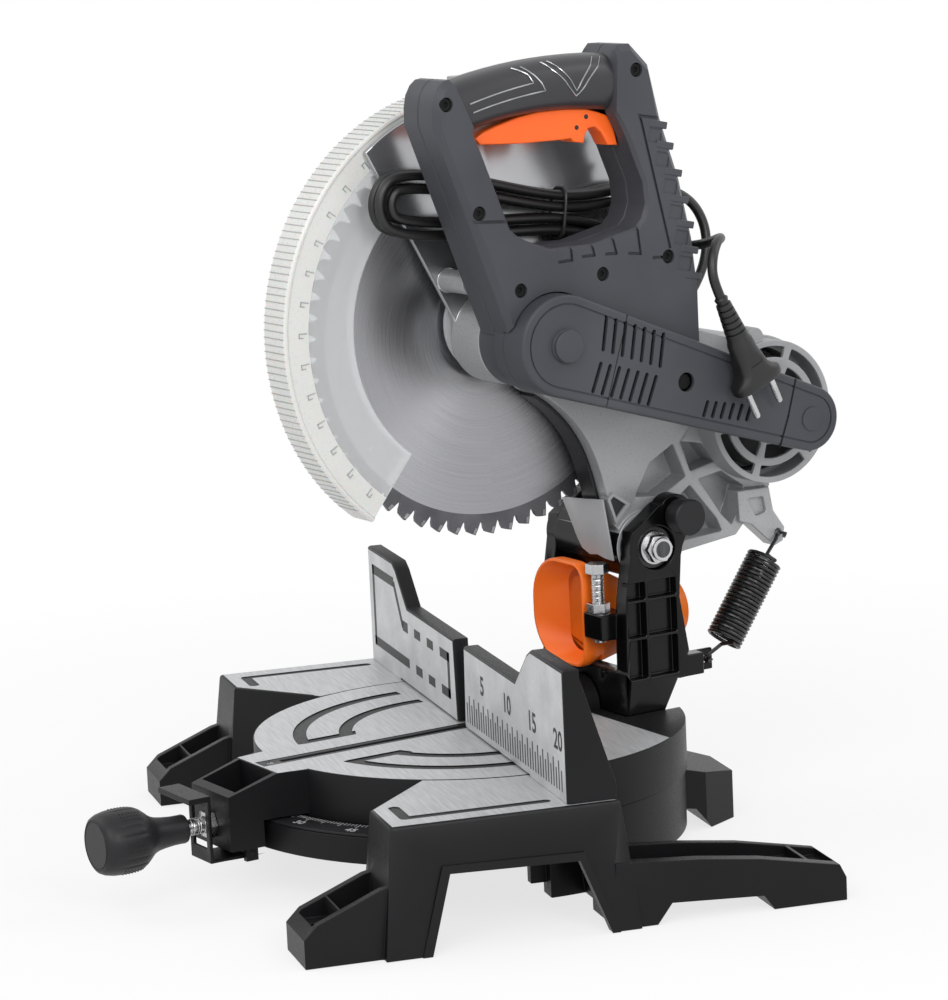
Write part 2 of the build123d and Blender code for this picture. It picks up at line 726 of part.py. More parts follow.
def arm_casting():
    body = guard_plate() + arm_web()
    body += bar_x(drum_radius, plate_x, handle_left_x, *spindle_center)
    body += bar_x(guard_boss, guard_boss_x, plate_x + 1, *guard_center)
    body += bar_x(arm_hub_radius, -hub_half, hub_half, pivot_y, pivot_z)
    body += bar_x(motor_radius + 2, plate_x, arm_x, *motor_center)
    body -= arm_pockets()
    body += spring_lug()
    for place in standoffs:
        body += bar_x(7, plate_x, handle_left_x, *place)
    body -= bar_x(motor_radius - 6, plate_x - 1, arm_x + 1, *motor_center)
    body -= bar_x(spindle_radius + 1.5, -10, 60, *spindle_center)
    for x in bearing_seats:
        body -= bar_x(bearing_radius, x, x + bearing_width, *spindle_center)
    body -= bar_x(pivot_radius + running_gap, -100, 100, pivot_y, pivot_z)
    return body


guard_boss = 24.0
guard_boss_x = 4.2
bearing_seats = (13.0, 29.0)
bearing_radius = 17.5
bearing_width = 11.0
nodes["arm_casting"] = turned(arm_casting())


def upper_guard():
    rim = sector(guard_center, shell_radius - shell_wall, shell_radius, shell_start, shell_end)
    shell = slab_x(rim, shell_left, plate_x)
    side = sector(guard_center, 60, shell_radius, shell_start, shell_end)
    return shell + slab_x(side, shell_left, shell_left + shell_wall)


nodes["upper_guard"] = turned(upper_guard())


# Black strip along the front edge of the arm
def edge_strip():
    path = arm_front()
    places = [0.06 + 0.82 * i / 8 for i in range(9)]
    points = [(path @ t, path % t) for t in places]
    near = [(p.X + t.Y * 0.15, p.Y - t.X * 0.15) for p, t in points]
    far = [(p.X + t.Y * 2.4, p.Y - t.X * 2.4) for p, t in points]
    edges = [Spline(*near), Line(near[-1], far[-1]), Spline(*far), Line(far[0], near[0])]
    return slab_x(make_face(edges), plate_x - 1.5, plate_x + 15)


nodes["edge_strip"] = turned(edge_strip())
flap = outline((-20, 193.5), (34, 193.5), (34, 176), (-6, 178), (-20, 188))
nodes["dust_flap"] = turned(slab_y(flap, pivot_y - arm_hub_radius - 1.7, pivot_y - arm_hub_radius - 0.3))


# Motor
def motor_housing():
    body = bar_x(motor_radius, motor_left, plate_x, *motor_center)
    body -= bar_x(motor_radius - motor_wall, motor_left + motor_wall, plate_x + 1, *motor_center)
    body -= bar_x(shaft_bearing, motor_left + motor_wall - 1, motor_left + motor_wall + 5, *motor_center)
    for i in range(12):
        body -= slab_x(sector(motor_center, 20, 36, i * 30, i * 30 + 16), motor_left - 1, motor_left + motor_wall + 1)
    return body


def motor_end_cap():
    body = bar_x(motor_radius, arm_x, cap_face, *motor_center)
    body -= bar_x(motor_radius - motor_wall, arm_x - 1, cap_face - cap_thick, *motor_center)
    body += bar_x(16, cap_face - 12, cap_face, *motor_center)
    for i in range(6):
        body -= slab_x(sector(motor_center, 35, 42, i * 60 + 14, i * 60 + 66), cap_face - cap_thick - 1, cap_face + 1)
        body -= slab_x(sector(motor_center, 21, 30, i * 60 + 16, i * 60 + 64), cap_face - cap_thick - 1, cap_face + 1)
    for angle in cap_screw_angles:
        ear = polar(motor_center, motor_radius + 3, angle)
        body += bar_x(6.5, arm_x, cap_face - 4, *ear) - bar_x(motor_radius - 1, 0, 100, *motor_center)
    body -= bar_x(shaft_bearing, cap_face - 11, cap_face - 5, *motor_center)
    return body - bar_x(shaft_radius + 1, 0, 100, *motor_center)


shaft_radius = 6.0
shaft_bearing = 13.0
cap_screw_angles = (100.0,)
nodes["motor_housing"] = turned(motor_housing())
nodes["motor_end_cap"] = turned(motor_end_cap())
stator = bar_x(motor_radius - 6.5, -50, 20, *motor_center) - bar_x(30, -60, 30, *motor_center)
nodes["motor_stator"] = turned(stator)
armature = bar_x(shaft_radius, motor_left + motor_wall + 0.5, pulley_end + 1, *motor_center)
armature += bar_x(27, -45, 14, *motor_center)
armature += bar_x(13, -62, -49, *motor_center)
nodes["armature"] = turned(armature)


def cooling_fan():
    fan = bar_x(14, 26, 36, *motor_center) + bar_x(36, 34, 36, *motor_center)
    for i in range(9):
        blade = box(26, 35, motor_y + 12, motor_y + 36, motor_z - 1, motor_z + 1)
        fan += blade.rotate(Axis((0, motor_y, motor_z), (1, 0, 0)), i * 40)
    return fan - bar_x(shaft_radius, 0, 100, *motor_center)


nodes["cooling_fan"] = turned(cooling_fan())


def bearing(x, width, bore, radius, center):
    return bar_x(radius, x, x + width, *center) - bar_x(bore, x - 1, x + width + 1, *center)


bearings = [bearing(x, bearing_width, spindle_radius + running_gap, bearing_radius, spindle_center)
            for x in bearing_seats]
for x in (motor_left + motor_wall - 1, cap_face - 11):
    bearings.append(bearing(x, 6, shaft_radius + running_gap, shaft_bearing, motor_center))
nodes["ball_bearings"] = turned(group(*bearings))


# Blade, flanges and spindle
def saw_blade():
    pitch = 360 / blade_teeth
    edges = []
    for i in range(blade_teeth):
        tip = polar(spindle_center, blade_radius, i * pitch)
        back = polar(spindle_center, blade_radius - 2.2, i * pitch - 2.6)
        root = polar(spindle_center, blade_radius - 8, i * pitch - 3.6)
        gullet = polar(spindle_center, blade_radius - 8, i * pitch - pitch + 1.2)
        after = polar(spindle_center, blade_radius, i * pitch - pitch)
        edges += [Line(tip, back), Line(back, root), Line(root, gullet), Line(gullet, after)]
    disc = slab_x(make_face(edges), -blade_thick / 2, blade_thick / 2)
    return disc - bar_x(blade_bore, -5, 5, *spindle_center)


blade_bore = 15.0
nodes["saw_blade"] = turned(saw_blade())
inner_flange = bar_x(20, blade_thick / 2, blade_thick / 2 + 2.4, *spindle_center)
inner_flange += bar_x(blade_bore, -blade_thick / 2, blade_thick, *spindle_center)
outer_flange = bar_x(20, -blade_thick / 2 - 3.5, -blade_thick / 2, *spindle_center)
bore_cut = bar_x(spindle_radius, -20, 20, *spindle_center)
nodes["blade_flanges"] = turned(group(inner_flange - bore_cut, outer_flange - bore_cut))
arbor_bolt = hex_x(9, -blade_thick / 2 - 10.5, -blade_thick / 2 - 3.5, *spindle_center)
nodes["arbor_bolt"] = turned(arbor_bolt)
nodes["spindle_shaft"] = turned(bar_x(spindle_radius, -blade_thick / 2 - 3.5, pulley_end + 1, *spindle_center))
driven_pulley = bar_x(driven_radius, pulley_start, pulley_end, *spindle_center)
nodes["driven_pulley"] = turned(driven_pulley - bar_x(spindle_radius, 0, 100, *spindle_center))
drive_pulley = bar_x(drive_radius, pulley_start, pulley_end, *motor_center)
nodes["drive_pulley"] = turned(drive_pulley - bar_x(shaft_radius, 0, 100, *motor_center))


# Outline of two circles joined by their outer tangents, about the spindle and the motor shaft
def belt_outline(large, small):
    dy = motor_y - spindle_y
    dz = motor_z - spindle_z
    lean = degrees(atan2(dz, dy))
    spread = degrees(acos((large - small) / hypot(dy, dz)))
    top = [polar(spindle_center, large, lean + spread), polar(motor_center, small, lean + spread)]
    low = [polar(spindle_center, large, lean - spread), polar(motor_center, small, lean - spread)]
    return make_face([Line(*top), ThreePointArc(top[1], polar(motor_center, small, lean), low[1]), Line(low[1], low[0]),
                      ThreePointArc(low[0], polar(spindle_center, large, lean + 180), top[0])])


belt_in = belt_outline(driven_radius + belt_gap, drive_radius + belt_gap)
belt_out = belt_outline(driven_radius + belt_gap + belt_thick, drive_radius + belt_gap + belt_thick)
nodes["drive_belt"] = turned(slab_x(belt_out - belt_in, pulley_start + 1, pulley_end - 1))


def vent(y, z, length, lean):
    return Pos(y, z) * Rot(0, 0, lean) * SlotOverall(length, 2.6)


def cover_vents():
    rows = ((52.0, 327.7, 93.2, 313.0, 7, 22.0, 80.0), (45.0, 301.6, 85.0, 289.0, 7, 20.0, 68.0),
            (124.4, 273.0, 156.8, 266.5, 6, 11.0, 68.0))
    slots = []
    for y0, z0, y1, z1, count, length, lean in rows:
        for i in range(count):
            t = i / (count - 1)
            slots.append(vent(y0 + t * (y1 - y0), z0 + t * (z1 - z0), length, lean))
    return slots


def belt_cover():
    body = slab_x(belt_outline(cover_large, cover_small), case_floor + 0.3, cover_face)
    rim = body.faces().sort_by(Axis.X)[-1].edges()
    body = fillet(rim, 1.8)
    body -= slab_x(belt_outline(cover_large - cover_wall, cover_small - cover_wall), case_floor, cover_face - cover_wall)
    line = belt_outline(cover_large - 5, cover_small - 5) - belt_outline(cover_large - 6.2, cover_small - 6.2)
    body -= slab_x(line, cover_face - 0.9, cover_face + 1)
    for slot in cover_vents():
        body -= slab_x(slot, cover_face - 5, cover_face + 1)
    boss = bar_x(10.5, cover_face - 0.5, cover_face + 2.2, *spindle_center)
    body += fillet(boss.faces().sort_by(Axis.X)[-1].edges(), 1.5)
    body += bar_x(7.5, cover_face - 0.5, cover_face + 0.8, *motor_center)
    return body - bar_x(6.0, cover_face - 5, cover_face + 1, *cover_screw)


cover_screw = (110.5, 291.3)
nodes["belt_cover"] = turned(belt_cover())
nodes["cover_screw"] = turned(bar_x(5.0, cover_face - 8, cover_face - 3, *cover_screw)
                              + bar_x(2.5, case_floor + 0.3, cover_face - 7, *cover_screw))


# Handle housing in two halves, with a D-shaped opening, the switch and the trigger
def handle_outline():
    top = ThreePointArc((-30, 485.5), (17, 494.6), (68, 495.5))
    edges = [Line((-5.5, 330), (-53, 460)), Line((-53, 460), (-52.5, 472)),
             ThreePointArc((-52.5, 472), (-50, 481.5), (-41, 487)), Line((-41, 487), (-30, 485.5)), top,
             Line(top @ 1, (75, 500)), Line((75, 500), (88, 499.5)), Line((88, 499.5), (101, 486)),
             Line((101, 486), (108.5, 453)), Line((108.5, 453), (121, 415)), Line((121, 415), (129, 378)),
             Line((129, 378), (132.5, 345)), Line((132.5, 345), (132, 308)), Line((132, 308), (40, 322)),
             Line((40, 322), (-5.5, 330))]
    return make_face(edges)


def handle_opening():
    bottom = ThreePointArc((-26.5, 454.5), (28, 461), (75.5, 458.5))
    edges = [bottom, Line(bottom @ 1, (88.6, 427)), ThreePointArc((88.6, 427), (94.5, 407), (86, 388)),
             Line((86, 388), (55, 381)), Line((55, 381), (26, 381)), ThreePointArc((26, 381), (9, 385.5), (-3.5, 395)),
             Line((-3.5, 395), bottom @ 0)]
    return make_face(edges)


def handle_solid(x0, x1):
    return slab_x(handle_outline(), x0, x1) - slab_x(handle_opening(), x0 - 1, x1 + 1)


def handle_void(x0, x1, inset):
    shape = offset(handle_outline(), -inset) - offset(handle_opening(), inset)
    return slab_x(shape, x0, x1)


def handle_left():
    body = handle_solid(handle_left_x, handle_split)
    body += bar_x(drum_radius, handle_left_x, handle_split, *spindle_center)
    body -= handle_void(handle_left_x + handle_wall, handle_split + 1, handle_wall)
    return body - handle_holes()


def handle_right():
    body = handle_solid(handle_split, handle_right_x)
    body -= slab_x(belt_outline(cover_large + cover_gap, cover_small + cover_gap), case_floor, handle_right_x + 1)
    void = handle_void(handle_split - 1, handle_right_x - handle_wall, handle_wall)
    void -= slab_x(belt_outline(cover_large + 4, cover_small + 4), case_back, handle_right_x + 1)
    body -= void
    back = slab_x(belt_outline(cover_large, cover_small), handle_split, case_floor)
    back -= slab_x(belt_outline(cover_large - handle_wall, cover_small - handle_wall), handle_split - 1, case_back)
    return body + back - handle_holes()


def trigger_slot():
    return box(trigger_left - trigger_gap, trigger_right + trigger_gap, -21, 85, 436, 471)


def handle_holes():
    cut = bar_x(spindle_radius + 4, 0, 100, *spindle_center) + bar_x(shaft_radius + 4, 0, 100, *motor_center)
    for place in handle_screw_places:
        cut += bar_x(4.4, handle_right_x - 4, handle_right_x + 1, *place)
        cut += bar_x(2.2, handle_left_x + 4, handle_right_x, *place)
    cut += bar_x(cover_screw_bore, handle_split, handle_right_x, *cover_screw)
    return cut + trigger_slot()


cover_screw_bore = 2.5
handle_screw_places = ((-45.1, 472.5), (-25.7, 406.7), (1.0, 358.0), (60.2, 362.2), (108.8, 368.2), (90.2, 483.6))


def trigger_outline():
    upper = Spline((-18.5, 450), (-4, 456.2), (27, 461.5), (61.5, 460.5), (77.5, 456.5))
    lower = Spline((-15, 446), (14, 444.4), (48, 444.6))
    edges = [upper, Line(upper @ 1, (83.4, 438)), Line((83.4, 438), (76, 438.7)), Line((76, 438.7), (71.5, 447)),
             Line((71.5, 447), (67, 450.4)), Line((67, 450.4), (62, 449.6)), Line((62, 449.6), (59, 441.2)),
             Line((59, 441.2), (51.5, 442.4)), Line((51.5, 442.4), lower @ 1), lower, Line(lower @ 0, upper @ 0)]
    return make_face(edges)


def handle_screw(place):
    head = bar_x(4.0, handle_right_x - 4, handle_right_x - 1.4, *place)
    head -= slab_x(Pos(*place) * RegularPolygon(1.8, 6), handle_right_x - 2.6, handle_right_x)
    return head + bar_x(2.1, handle_left_x + 4, handle_right_x - 4, *place)


trigger_pivot = (65.3, 458.6)
trigger_boss = 3.5
nodes["handle_left"] = turned(handle_left())
nodes["handle_right"] = turned(handle_right())
nodes["handle_screws"] = turned(group(*[handle_screw(place) for place in handle_screw_places]))
nodes["trigger"] = turned(slab_x(trigger_outline(), trigger_left, trigger_right)
                           + bar_x(trigger_boss, trigger_left, trigger_right, *trigger_pivot))
nodes["power_switch"] = turned(box(trigger_left, trigger_right, 22, 56, 471, 488))


# Lower guard: a clear rim with side plates, turning about a boss on the arm
def lower_guard():
    rim = slab_x(sector(guard_center, guard_radius - guard_wall, guard_radius, guard_high_angle, guard_low_angle),
                 guard_left, guard_right)
    left = slab_x(sector(guard_center, guard_inner, guard_radius - 0.5, guard_high_angle, guard_low_angle),
                  guard_left, guard_left + guard_wall)
    x = guard_boss_x + 0.8
    right = slab_x(sector(guard_center, guard_inner, guard_radius - 0.5, guard_high_angle, guard_low_angle),
                   x, x + guard_wall)
    right += slab_x(sector(guard_center, guard_boss + 2, guard_inner + 2, guard_high_angle, 126), x, x + guard_wall)
    hub = bar_x(guard_boss + 8, x, x + guard_wall, *guard_center)
    right = right + hub - bar_x(guard_boss + gap, x - 1, x + 5, *guard_center)
    return rim + left + right


nodes["lower_guard"] = turned(lower_guard())


# Path of tangent arcs through points with given directions, two arcs between each pair
def arc_pair(p, t, q, u):
    v = q - p
    s = t + u
    along = v.dot(s)
    turn = 2 * (1 - t.dot(u))
    d = v.dot(v) / (2 * along) if turn < 1e-9 else (-along + sqrt(along ** 2 + 2 * turn * v.dot(v) / 2)) / turn
    return (p + q + (t - u) * d) * 0.5, (q - u * d - p - t * d).normalized()


def arc_path(stations):
    edges = []
    for (p, t), (q, u) in zip(stations, stations[1:]):
        if (q - p).cross(t).length < 1e-6 and t.cross(u).length < 1e-6:
            edges.append(Line(p, q))
            continue
        middle, heading = arc_pair(p, t, q, u)
        edges.append(TangentArc(p, middle, tangent=t))
        edges.append(TangentArc(middle, q, tangent=heading))
    return edges


def tube(edges, start, heading, radius):
    return sweep(Plane(origin=start, z_dir=heading) * Circle(radius), path=Wire(edges))


def least_gap(edges, radius, skip):
    step = radius / 2
    points = []
    for edge in edges:
        count = max(2, ceil(edge.length / step))
        points += [edge @ (i / count) for i in range(count)]
    reach = ceil(skip / step)
    best = 1e9
    for i, p in enumerate(points):
        for q in points[i + reach:]:
            best = min(best, (p - q).length)
    return best - 2 * radius


def length_of(edges):
    return sum(edge.length for edge in edges)


# Hank of mains cord between the guard plate and the handle, drawn in at the waist
def hank_place(along, across, layer):
    tilt = radians(hank_tilt)
    y = hank_mid_y + along * cos(tilt) - across * sin(tilt)
    z = hank_mid_z + along * sin(tilt) + across * cos(tilt)
    return Vector(hank_x + layer * hank_layer, y, z)


def hank_way(along, across):
    tilt = radians(hank_tilt)
    return Vector(0, along * cos(tilt) - across * sin(tilt), along * sin(tilt) + across * cos(tilt))


def hank_stations():
    forward = hank_way(-1, 0)
    backward = hank_way(1, 0)
    down = hank_way(0, -1)
    up = hank_way(0, 1)
    sizes = (hank_outer, hank_inner, hank_inner, hank_outer)
    pinch = (3 * hank_pinch, hank_pinch, hank_pinch, 3 * hank_pinch)
    layers = (0, 0, 1, 1)
    stations = [(hank_place(hank_lead, hank_outer, 0), forward), (hank_place(hank_back, hank_outer, 0), forward)]
    for i in range(hank_loops):
        size = sizes[i]
        layer = layers[i]
        last = i == hank_loops - 1
        ahead = hank_front
        stations.append((hank_place(0, pinch[i], layer), forward))
        stations.append((hank_place(ahead, size, layer), forward))
        stations.append((hank_place(ahead - size, 0, layer), down))
        stations.append((hank_place(ahead, -size, layer), backward))
        stations.append((hank_place(0, -pinch[i], layer), backward))
        if last:
            stations.append((hank_place(hank_back, -size, layer), backward))
            stations.append((hank_place(hank_lead, -size, layer), backward))
        elif layers[i + 1] != layer:
            back = hank_back - 4
            climb = (up + Vector(0.3, 0, 0)).normalized()
            stations.append((hank_place(back, -size, layer), backward))
            stations.append((hank_place(back + size, 0, layer + 0.5), climb))
            stations.append((hank_place(back, size, layer + 1), forward))
        else:
            other = sizes[i + 1]
            middle = (other - size) / 2
            bend = (other + size) / 2
            stations.append((hank_place(hank_back, -size, layer), backward))
            stations.append((hank_place(hank_back + bend, middle, layer), up))
            stations.append((hank_place(hank_back, other, layer), forward))
    return stations


hank = hank_stations()
hank_edges = arc_path(hank)
cord_hank = tube(hank_edges, hank[0][0], hank[0][1], cord_radius)
print("hank length", round(length_of(hank_edges), 1), "gap", round(least_gap(hank_edges, cord_radius, 25), 2))
nodes["cord_hank"] = turned(cord_hank)


# Free stretches of cord: straight runs joined by tangent arcs
def stretch(points, name):
    vectors = [Vector(*p) for p in points]
    radii = []
    for a, b, c in zip(vectors, vectors[1:], vectors[2:]):
        turn = radians((b - a).get_angle(c - b))
        radii.append(0.45 * min((b - a).length, (c - b).length) / tan(turn / 2))
    path = FilletPolyline(*vectors, radius=radii)
    solid = sweep(Plane(origin=vectors[0], z_dir=vectors[1] - vectors[0]) * Circle(cord_radius), path=path)
    ideal = pi * cord_radius ** 2 * path.length
    print(name, "length", round(path.length, 1), "radii", [round(r, 1) for r in radii],
          "volume ratio", round(solid.volume / ideal, 4))
    return solid


relief_base = Vector(52, 130, 322)
relief_way = Vector(-0.34, 0.76, 0.55).normalized()
relief_length = 25.0
relief_end = relief_base + relief_way * relief_length
hank_start = hank[0][0]
hank_start_way = hank[0][1] * -1
hank_finish = hank[-1][0]
plug_way = Vector(0, 0.42, -0.907).normalized()
plug_top = Vector(104.5, 131, 342)


def point(vector):
    return (vector.X, vector.Y, vector.Z)


lead_points = [point(relief_end), point(relief_end + relief_way * 10), (37.5, 166, 353.5), (34.5, 171.5, 367),
               (31.5, 171.5, 381), (28.5, 165.5, 393.5), (25.5, 154, 401.7),
               point(hank_start + hank_start_way * 12), point(hank_start)]
tail_points = [point(hank_finish), point(hank_finish + hank_start_way * 12), (37, 147.6, 367.5), (48.2, 154, 368.5),
               (62, 155, 371.5), (75, 152, 375), (86, 146, 376.5), (95, 136.5, 376), (101.3, 128.7, 369.5),
               (103.9, 125.4, 359), point(plug_top + plug_way * -8), point(plug_top)]
nodes["cord_lead"] = turned(stretch(lead_points, "cord lead"))
nodes["cord_tail"] = turned(stretch(tail_points, "cord tail"))
relief_plane = Plane(origin=relief_base, z_dir=relief_way)
relief = loft([relief_plane * Circle(6.5), relief_plane.offset(relief_length) * Circle(4.6)])
relief_body = relief - slab_x(handle_outline(), handle_left_x - 20, handle_right_x)
nodes["strain_relief"] = turned(relief_body)


# Two-pin mains plug, flat in the plane of the handle
def plug():
    plane = Plane(origin=plug_top, x_dir=(0, 0.907, 0.42), z_dir=plug_way)
    sleeve = loft([plane * Circle(4.4), plane.offset(plug_sleeve) * Circle(7.5)])
    start = plane.offset(plug_sleeve - 6) * RectangleRounded(20, 13, 5)
    middle = plane.offset(plug_sleeve + 8) * RectangleRounded(2 * plug_half_width, plug_thick, 8)
    end = plane.offset(plug_sleeve + plug_body) * RectangleRounded(2 * plug_half_width - 2, plug_thick - 2, 7)
    body = sleeve + loft([start, middle]) + loft([middle, end])
    for side in (-1, 1):
        pin = Pos(side * pin_half_spacing, 0, plug_sleeve + plug_body + pin_length / 2) * Cylinder(pin_radius, pin_length)
        body += plane.location * pin
    return body


nodes["plug"] = turned(plug())


# Return spring: close coils with a hook at each end
spring_top = Vector(spring_x, 202.6, 160.7)
spring_foot = Vector(spring_x, 167.7, 111.8)


def return_spring():
    axis = (spring_top - spring_foot).normalized()
    across = Vector(1, 0, 0)
    third = axis.cross(across)
    body = coil_count * coil_pitch
    start = (spring_top + spring_foot) * 0.5 - axis * (body / 2)
    rise = coil_pitch / (2 * pi * coil_radius)
    stations = []
    for i in range(4 * coil_count + 1):
        a = i * pi / 2
        out = across * cos(a) + third * sin(a)
        way = (third * cos(a) - across * sin(a) + axis * rise).normalized()
        stations.append((start + out * coil_radius + axis * (coil_pitch * i / 4), way))
    first = stations[0][0]
    final = stations[-1][0]
    low_hook = Vector(spring_x, lug_hole_y, lug_hole_z)
    hook = Vector(spring_x, *lug_hole)
    foot = first - axis * 7 - across * coil_radius
    head = final + axis * 7 - across * coil_radius
    low = [(low_hook - across * 13, across), (low_hook - across * 10, across), (low_hook - across * 3, across),
           (foot, axis)]
    high = [(head, axis), (hook - across * 3, across * -1), (hook - across * 15, across * -1),
            (hook - across * 18, across * -1)]
    return low, stations, high


def spring_solid():
    low, stations, high = return_spring()
    edges = arc_path(low + stations + high)
    solid = tube(edges, low[0][0], low[0][1], wire_radius)
    print("spring length", round(length_of(edges), 1), "gap", round(least_gap(edges, wire_radius, 12), 2),
          "volume ratio", round(solid.volume / (pi * wire_radius ** 2 * length_of(edges)), 4))
    return solid


nodes["return_spring"] = turned(spring_solid())

os.makedirs("parts", exist_ok=True)
for name, shape in nodes.items():
    export_step(shape, "parts/" + name + ".step")
print(len(nodes), "nodes")
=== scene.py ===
import bmesh
import bpy
import json
from math import atan2, cos, pi, radians, sin, sqrt, tan
from mathutils import Matrix, Vector


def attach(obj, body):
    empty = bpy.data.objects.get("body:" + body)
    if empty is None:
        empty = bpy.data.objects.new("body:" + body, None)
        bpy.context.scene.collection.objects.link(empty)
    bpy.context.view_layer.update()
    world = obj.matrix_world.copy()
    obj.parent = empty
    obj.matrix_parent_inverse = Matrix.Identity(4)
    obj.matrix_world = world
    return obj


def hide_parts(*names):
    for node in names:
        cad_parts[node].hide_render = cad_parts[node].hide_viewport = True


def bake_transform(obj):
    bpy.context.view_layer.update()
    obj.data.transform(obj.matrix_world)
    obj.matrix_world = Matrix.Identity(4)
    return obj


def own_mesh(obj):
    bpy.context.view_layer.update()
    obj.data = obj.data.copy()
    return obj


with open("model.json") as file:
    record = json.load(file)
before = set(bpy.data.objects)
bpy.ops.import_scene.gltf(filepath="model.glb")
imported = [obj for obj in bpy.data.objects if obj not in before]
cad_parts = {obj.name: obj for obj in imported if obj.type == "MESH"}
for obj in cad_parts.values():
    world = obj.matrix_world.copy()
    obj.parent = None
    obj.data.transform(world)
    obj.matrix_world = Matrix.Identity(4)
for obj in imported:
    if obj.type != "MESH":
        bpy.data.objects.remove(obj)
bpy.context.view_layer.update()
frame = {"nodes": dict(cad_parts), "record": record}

scene = bpy.context.scene
scene.view_settings.view_transform = "Standard"
nodes = frame["nodes"]
nodeBody = {node: body for body, held in frame["record"]["behaviour"]["bodies"].items() for node in held}
print("frame loaded:", len(nodes), "nodes")

# pieces are drawn in millimetres; the turntable, bracket and head stand turned 15 degrees about the miter axis
mm = 0.001
turnAngle = radians(15)
headTurn = Matrix.Rotation(turnAngle, 4, "Z")
headBack = headTurn.inverted()
inHead = headTurn @ Matrix.Scale(mm, 4)
onBase = Matrix.Scale(mm, 4)


def fromHead(x, y, z):
    return headTurn @ Vector((x * mm, y * mm, z * mm))


# colour as read from the photo, made linear
def tone(r, g, b):
    return tuple((c / 255 / 12.92) if c < 11 else ((c / 255 + 0.055) / 1.055) ** 2.4 for c in (r, g, b)) + (1.0,)


# camera as fitted to the photograph
cameraSettings = {
    "azimuth": 73.70, "elevation": 10.14, "roll": -2.64, "distance": 2.2394, "target": (0.03897, -0.0015, 0.2265),
    "lens": 131.33, "sensor": 36, "clip": (0.1, 50)}


def placeCamera(s):
    a, e, r = radians(s["azimuth"]), radians(s["elevation"]), radians(s["roll"])
    back = Vector((sin(a) * cos(e), -cos(a) * cos(e), sin(e)))
    right = Vector((cos(a), sin(a), 0))
    up = back.cross(right)
    acrossView = right * cos(r) + up * sin(r)
    upView = up * cos(r) - right * sin(r)
    turn = Matrix((acrossView, upView, back)).transposed()
    lens = bpy.data.cameras.new("camera")
    lens.lens = s["lens"]
    lens.sensor_width = s["sensor"]
    lens.clip_start, lens.clip_end = s["clip"]
    camera = bpy.data.objects.new("camera", lens)
    scene.collection.objects.link(camera)
    camera.matrix_world = Matrix.Translation(Vector(s["target"]) + back * s["distance"]) @ turn.to_4x4()
    scene.camera = camera


placeCamera(cameraSettings)
print("camera placed")


# feeds a shader node's sockets: each takes a constant, a socket or a node's first output
def feed(tree, node, inputs):
    for socket, value in inputs.items():
        if isinstance(value, bpy.types.Node):
            value = value.outputs[0]
        if isinstance(value, bpy.types.NodeSocket):
            tree.links.new(value, node.inputs[socket])
        else:
            node.inputs[socket].default_value = value
    return node


def shaderNode(tree, kind, inputs, **settings):
    node = tree.nodes.new("ShaderNode" + kind)
    for name, value in settings.items():
        setattr(node, name, value)
    return feed(tree, node, inputs)


def ranged(tree, value, fromLow, fromHigh, low, high):
    return shaderNode(tree, "MapRange", {"Value": value, "From Min": fromLow, "From Max": fromHigh,
                                         "To Min": low, "To Max": high})


# one for rays that show the surroundings as they are, zero for those that only light the saw
def seenDirectly(tree):
    path = shaderNode(tree, "LightPath", {}).outputs
    shown = shaderNode(tree, "Math", {0: path["Is Camera Ray"], 1: path["Is Glossy Ray"]}, operation="MAXIMUM")
    return shaderNode(tree, "Math", {0: shown, 1: path["Is Transmission Ray"]}, operation="MAXIMUM")


# soft studio light: the sky's strength, and each lamp's name, place, size and power
lightSettings = {
    "sky": 0.52, "shownSky": 1.0, "aim": (0, 0, 0.2),
    "lamps": [("keyLamp", (1.9, -1.2, 1.9), 1.7, 27), ("frontLamp", (-0.9, -1.6, 1.9), 1.6, 11),
        ("rimLamp", (0.4, 2.0, 1.7), 1.4, 11), ("sideLamp", (1.96, 0.32, 1.1), 0.7, 11)]}


def lightStudio(s):
    world = bpy.data.worlds.new("studio")
    scene.world = world
    world.use_nodes = True
    tree = world.node_tree
    tree.nodes.clear()
    dim, white = [shaderNode(tree, "Background", {"Color": (1, 1, 1, 1), "Strength": s[key]})
                  for key in ("sky", "shownSky")]
    mix = shaderNode(tree, "MixShader", {"Fac": seenDirectly(tree), 1: dim, 2: white})
    shaderNode(tree, "OutputWorld", {"Surface": mix})
    for name, place, size, power in s["lamps"]:
        lamp = bpy.data.lights.new(name, "AREA")
        lamp.size = size
        lamp.energy = power
        holder = bpy.data.objects.new(name, lamp)
        scene.collection.objects.link(holder)
        holder.location = place
        holder.rotation_euler = (Vector(s["aim"]) - Vector(place)).to_track_quat("-Z", "Y").to_euler()


lightStudio(lightSettings)

# pale floor that keeps the shadow near the saw and fades to white
floorSettings = {
    "half": 30.0, "drop": -0.0004, "pale": (0.93, 0.93, 0.93, 1), "near": 0.75, "nearReach": 0.35, "farReach": 0.9}


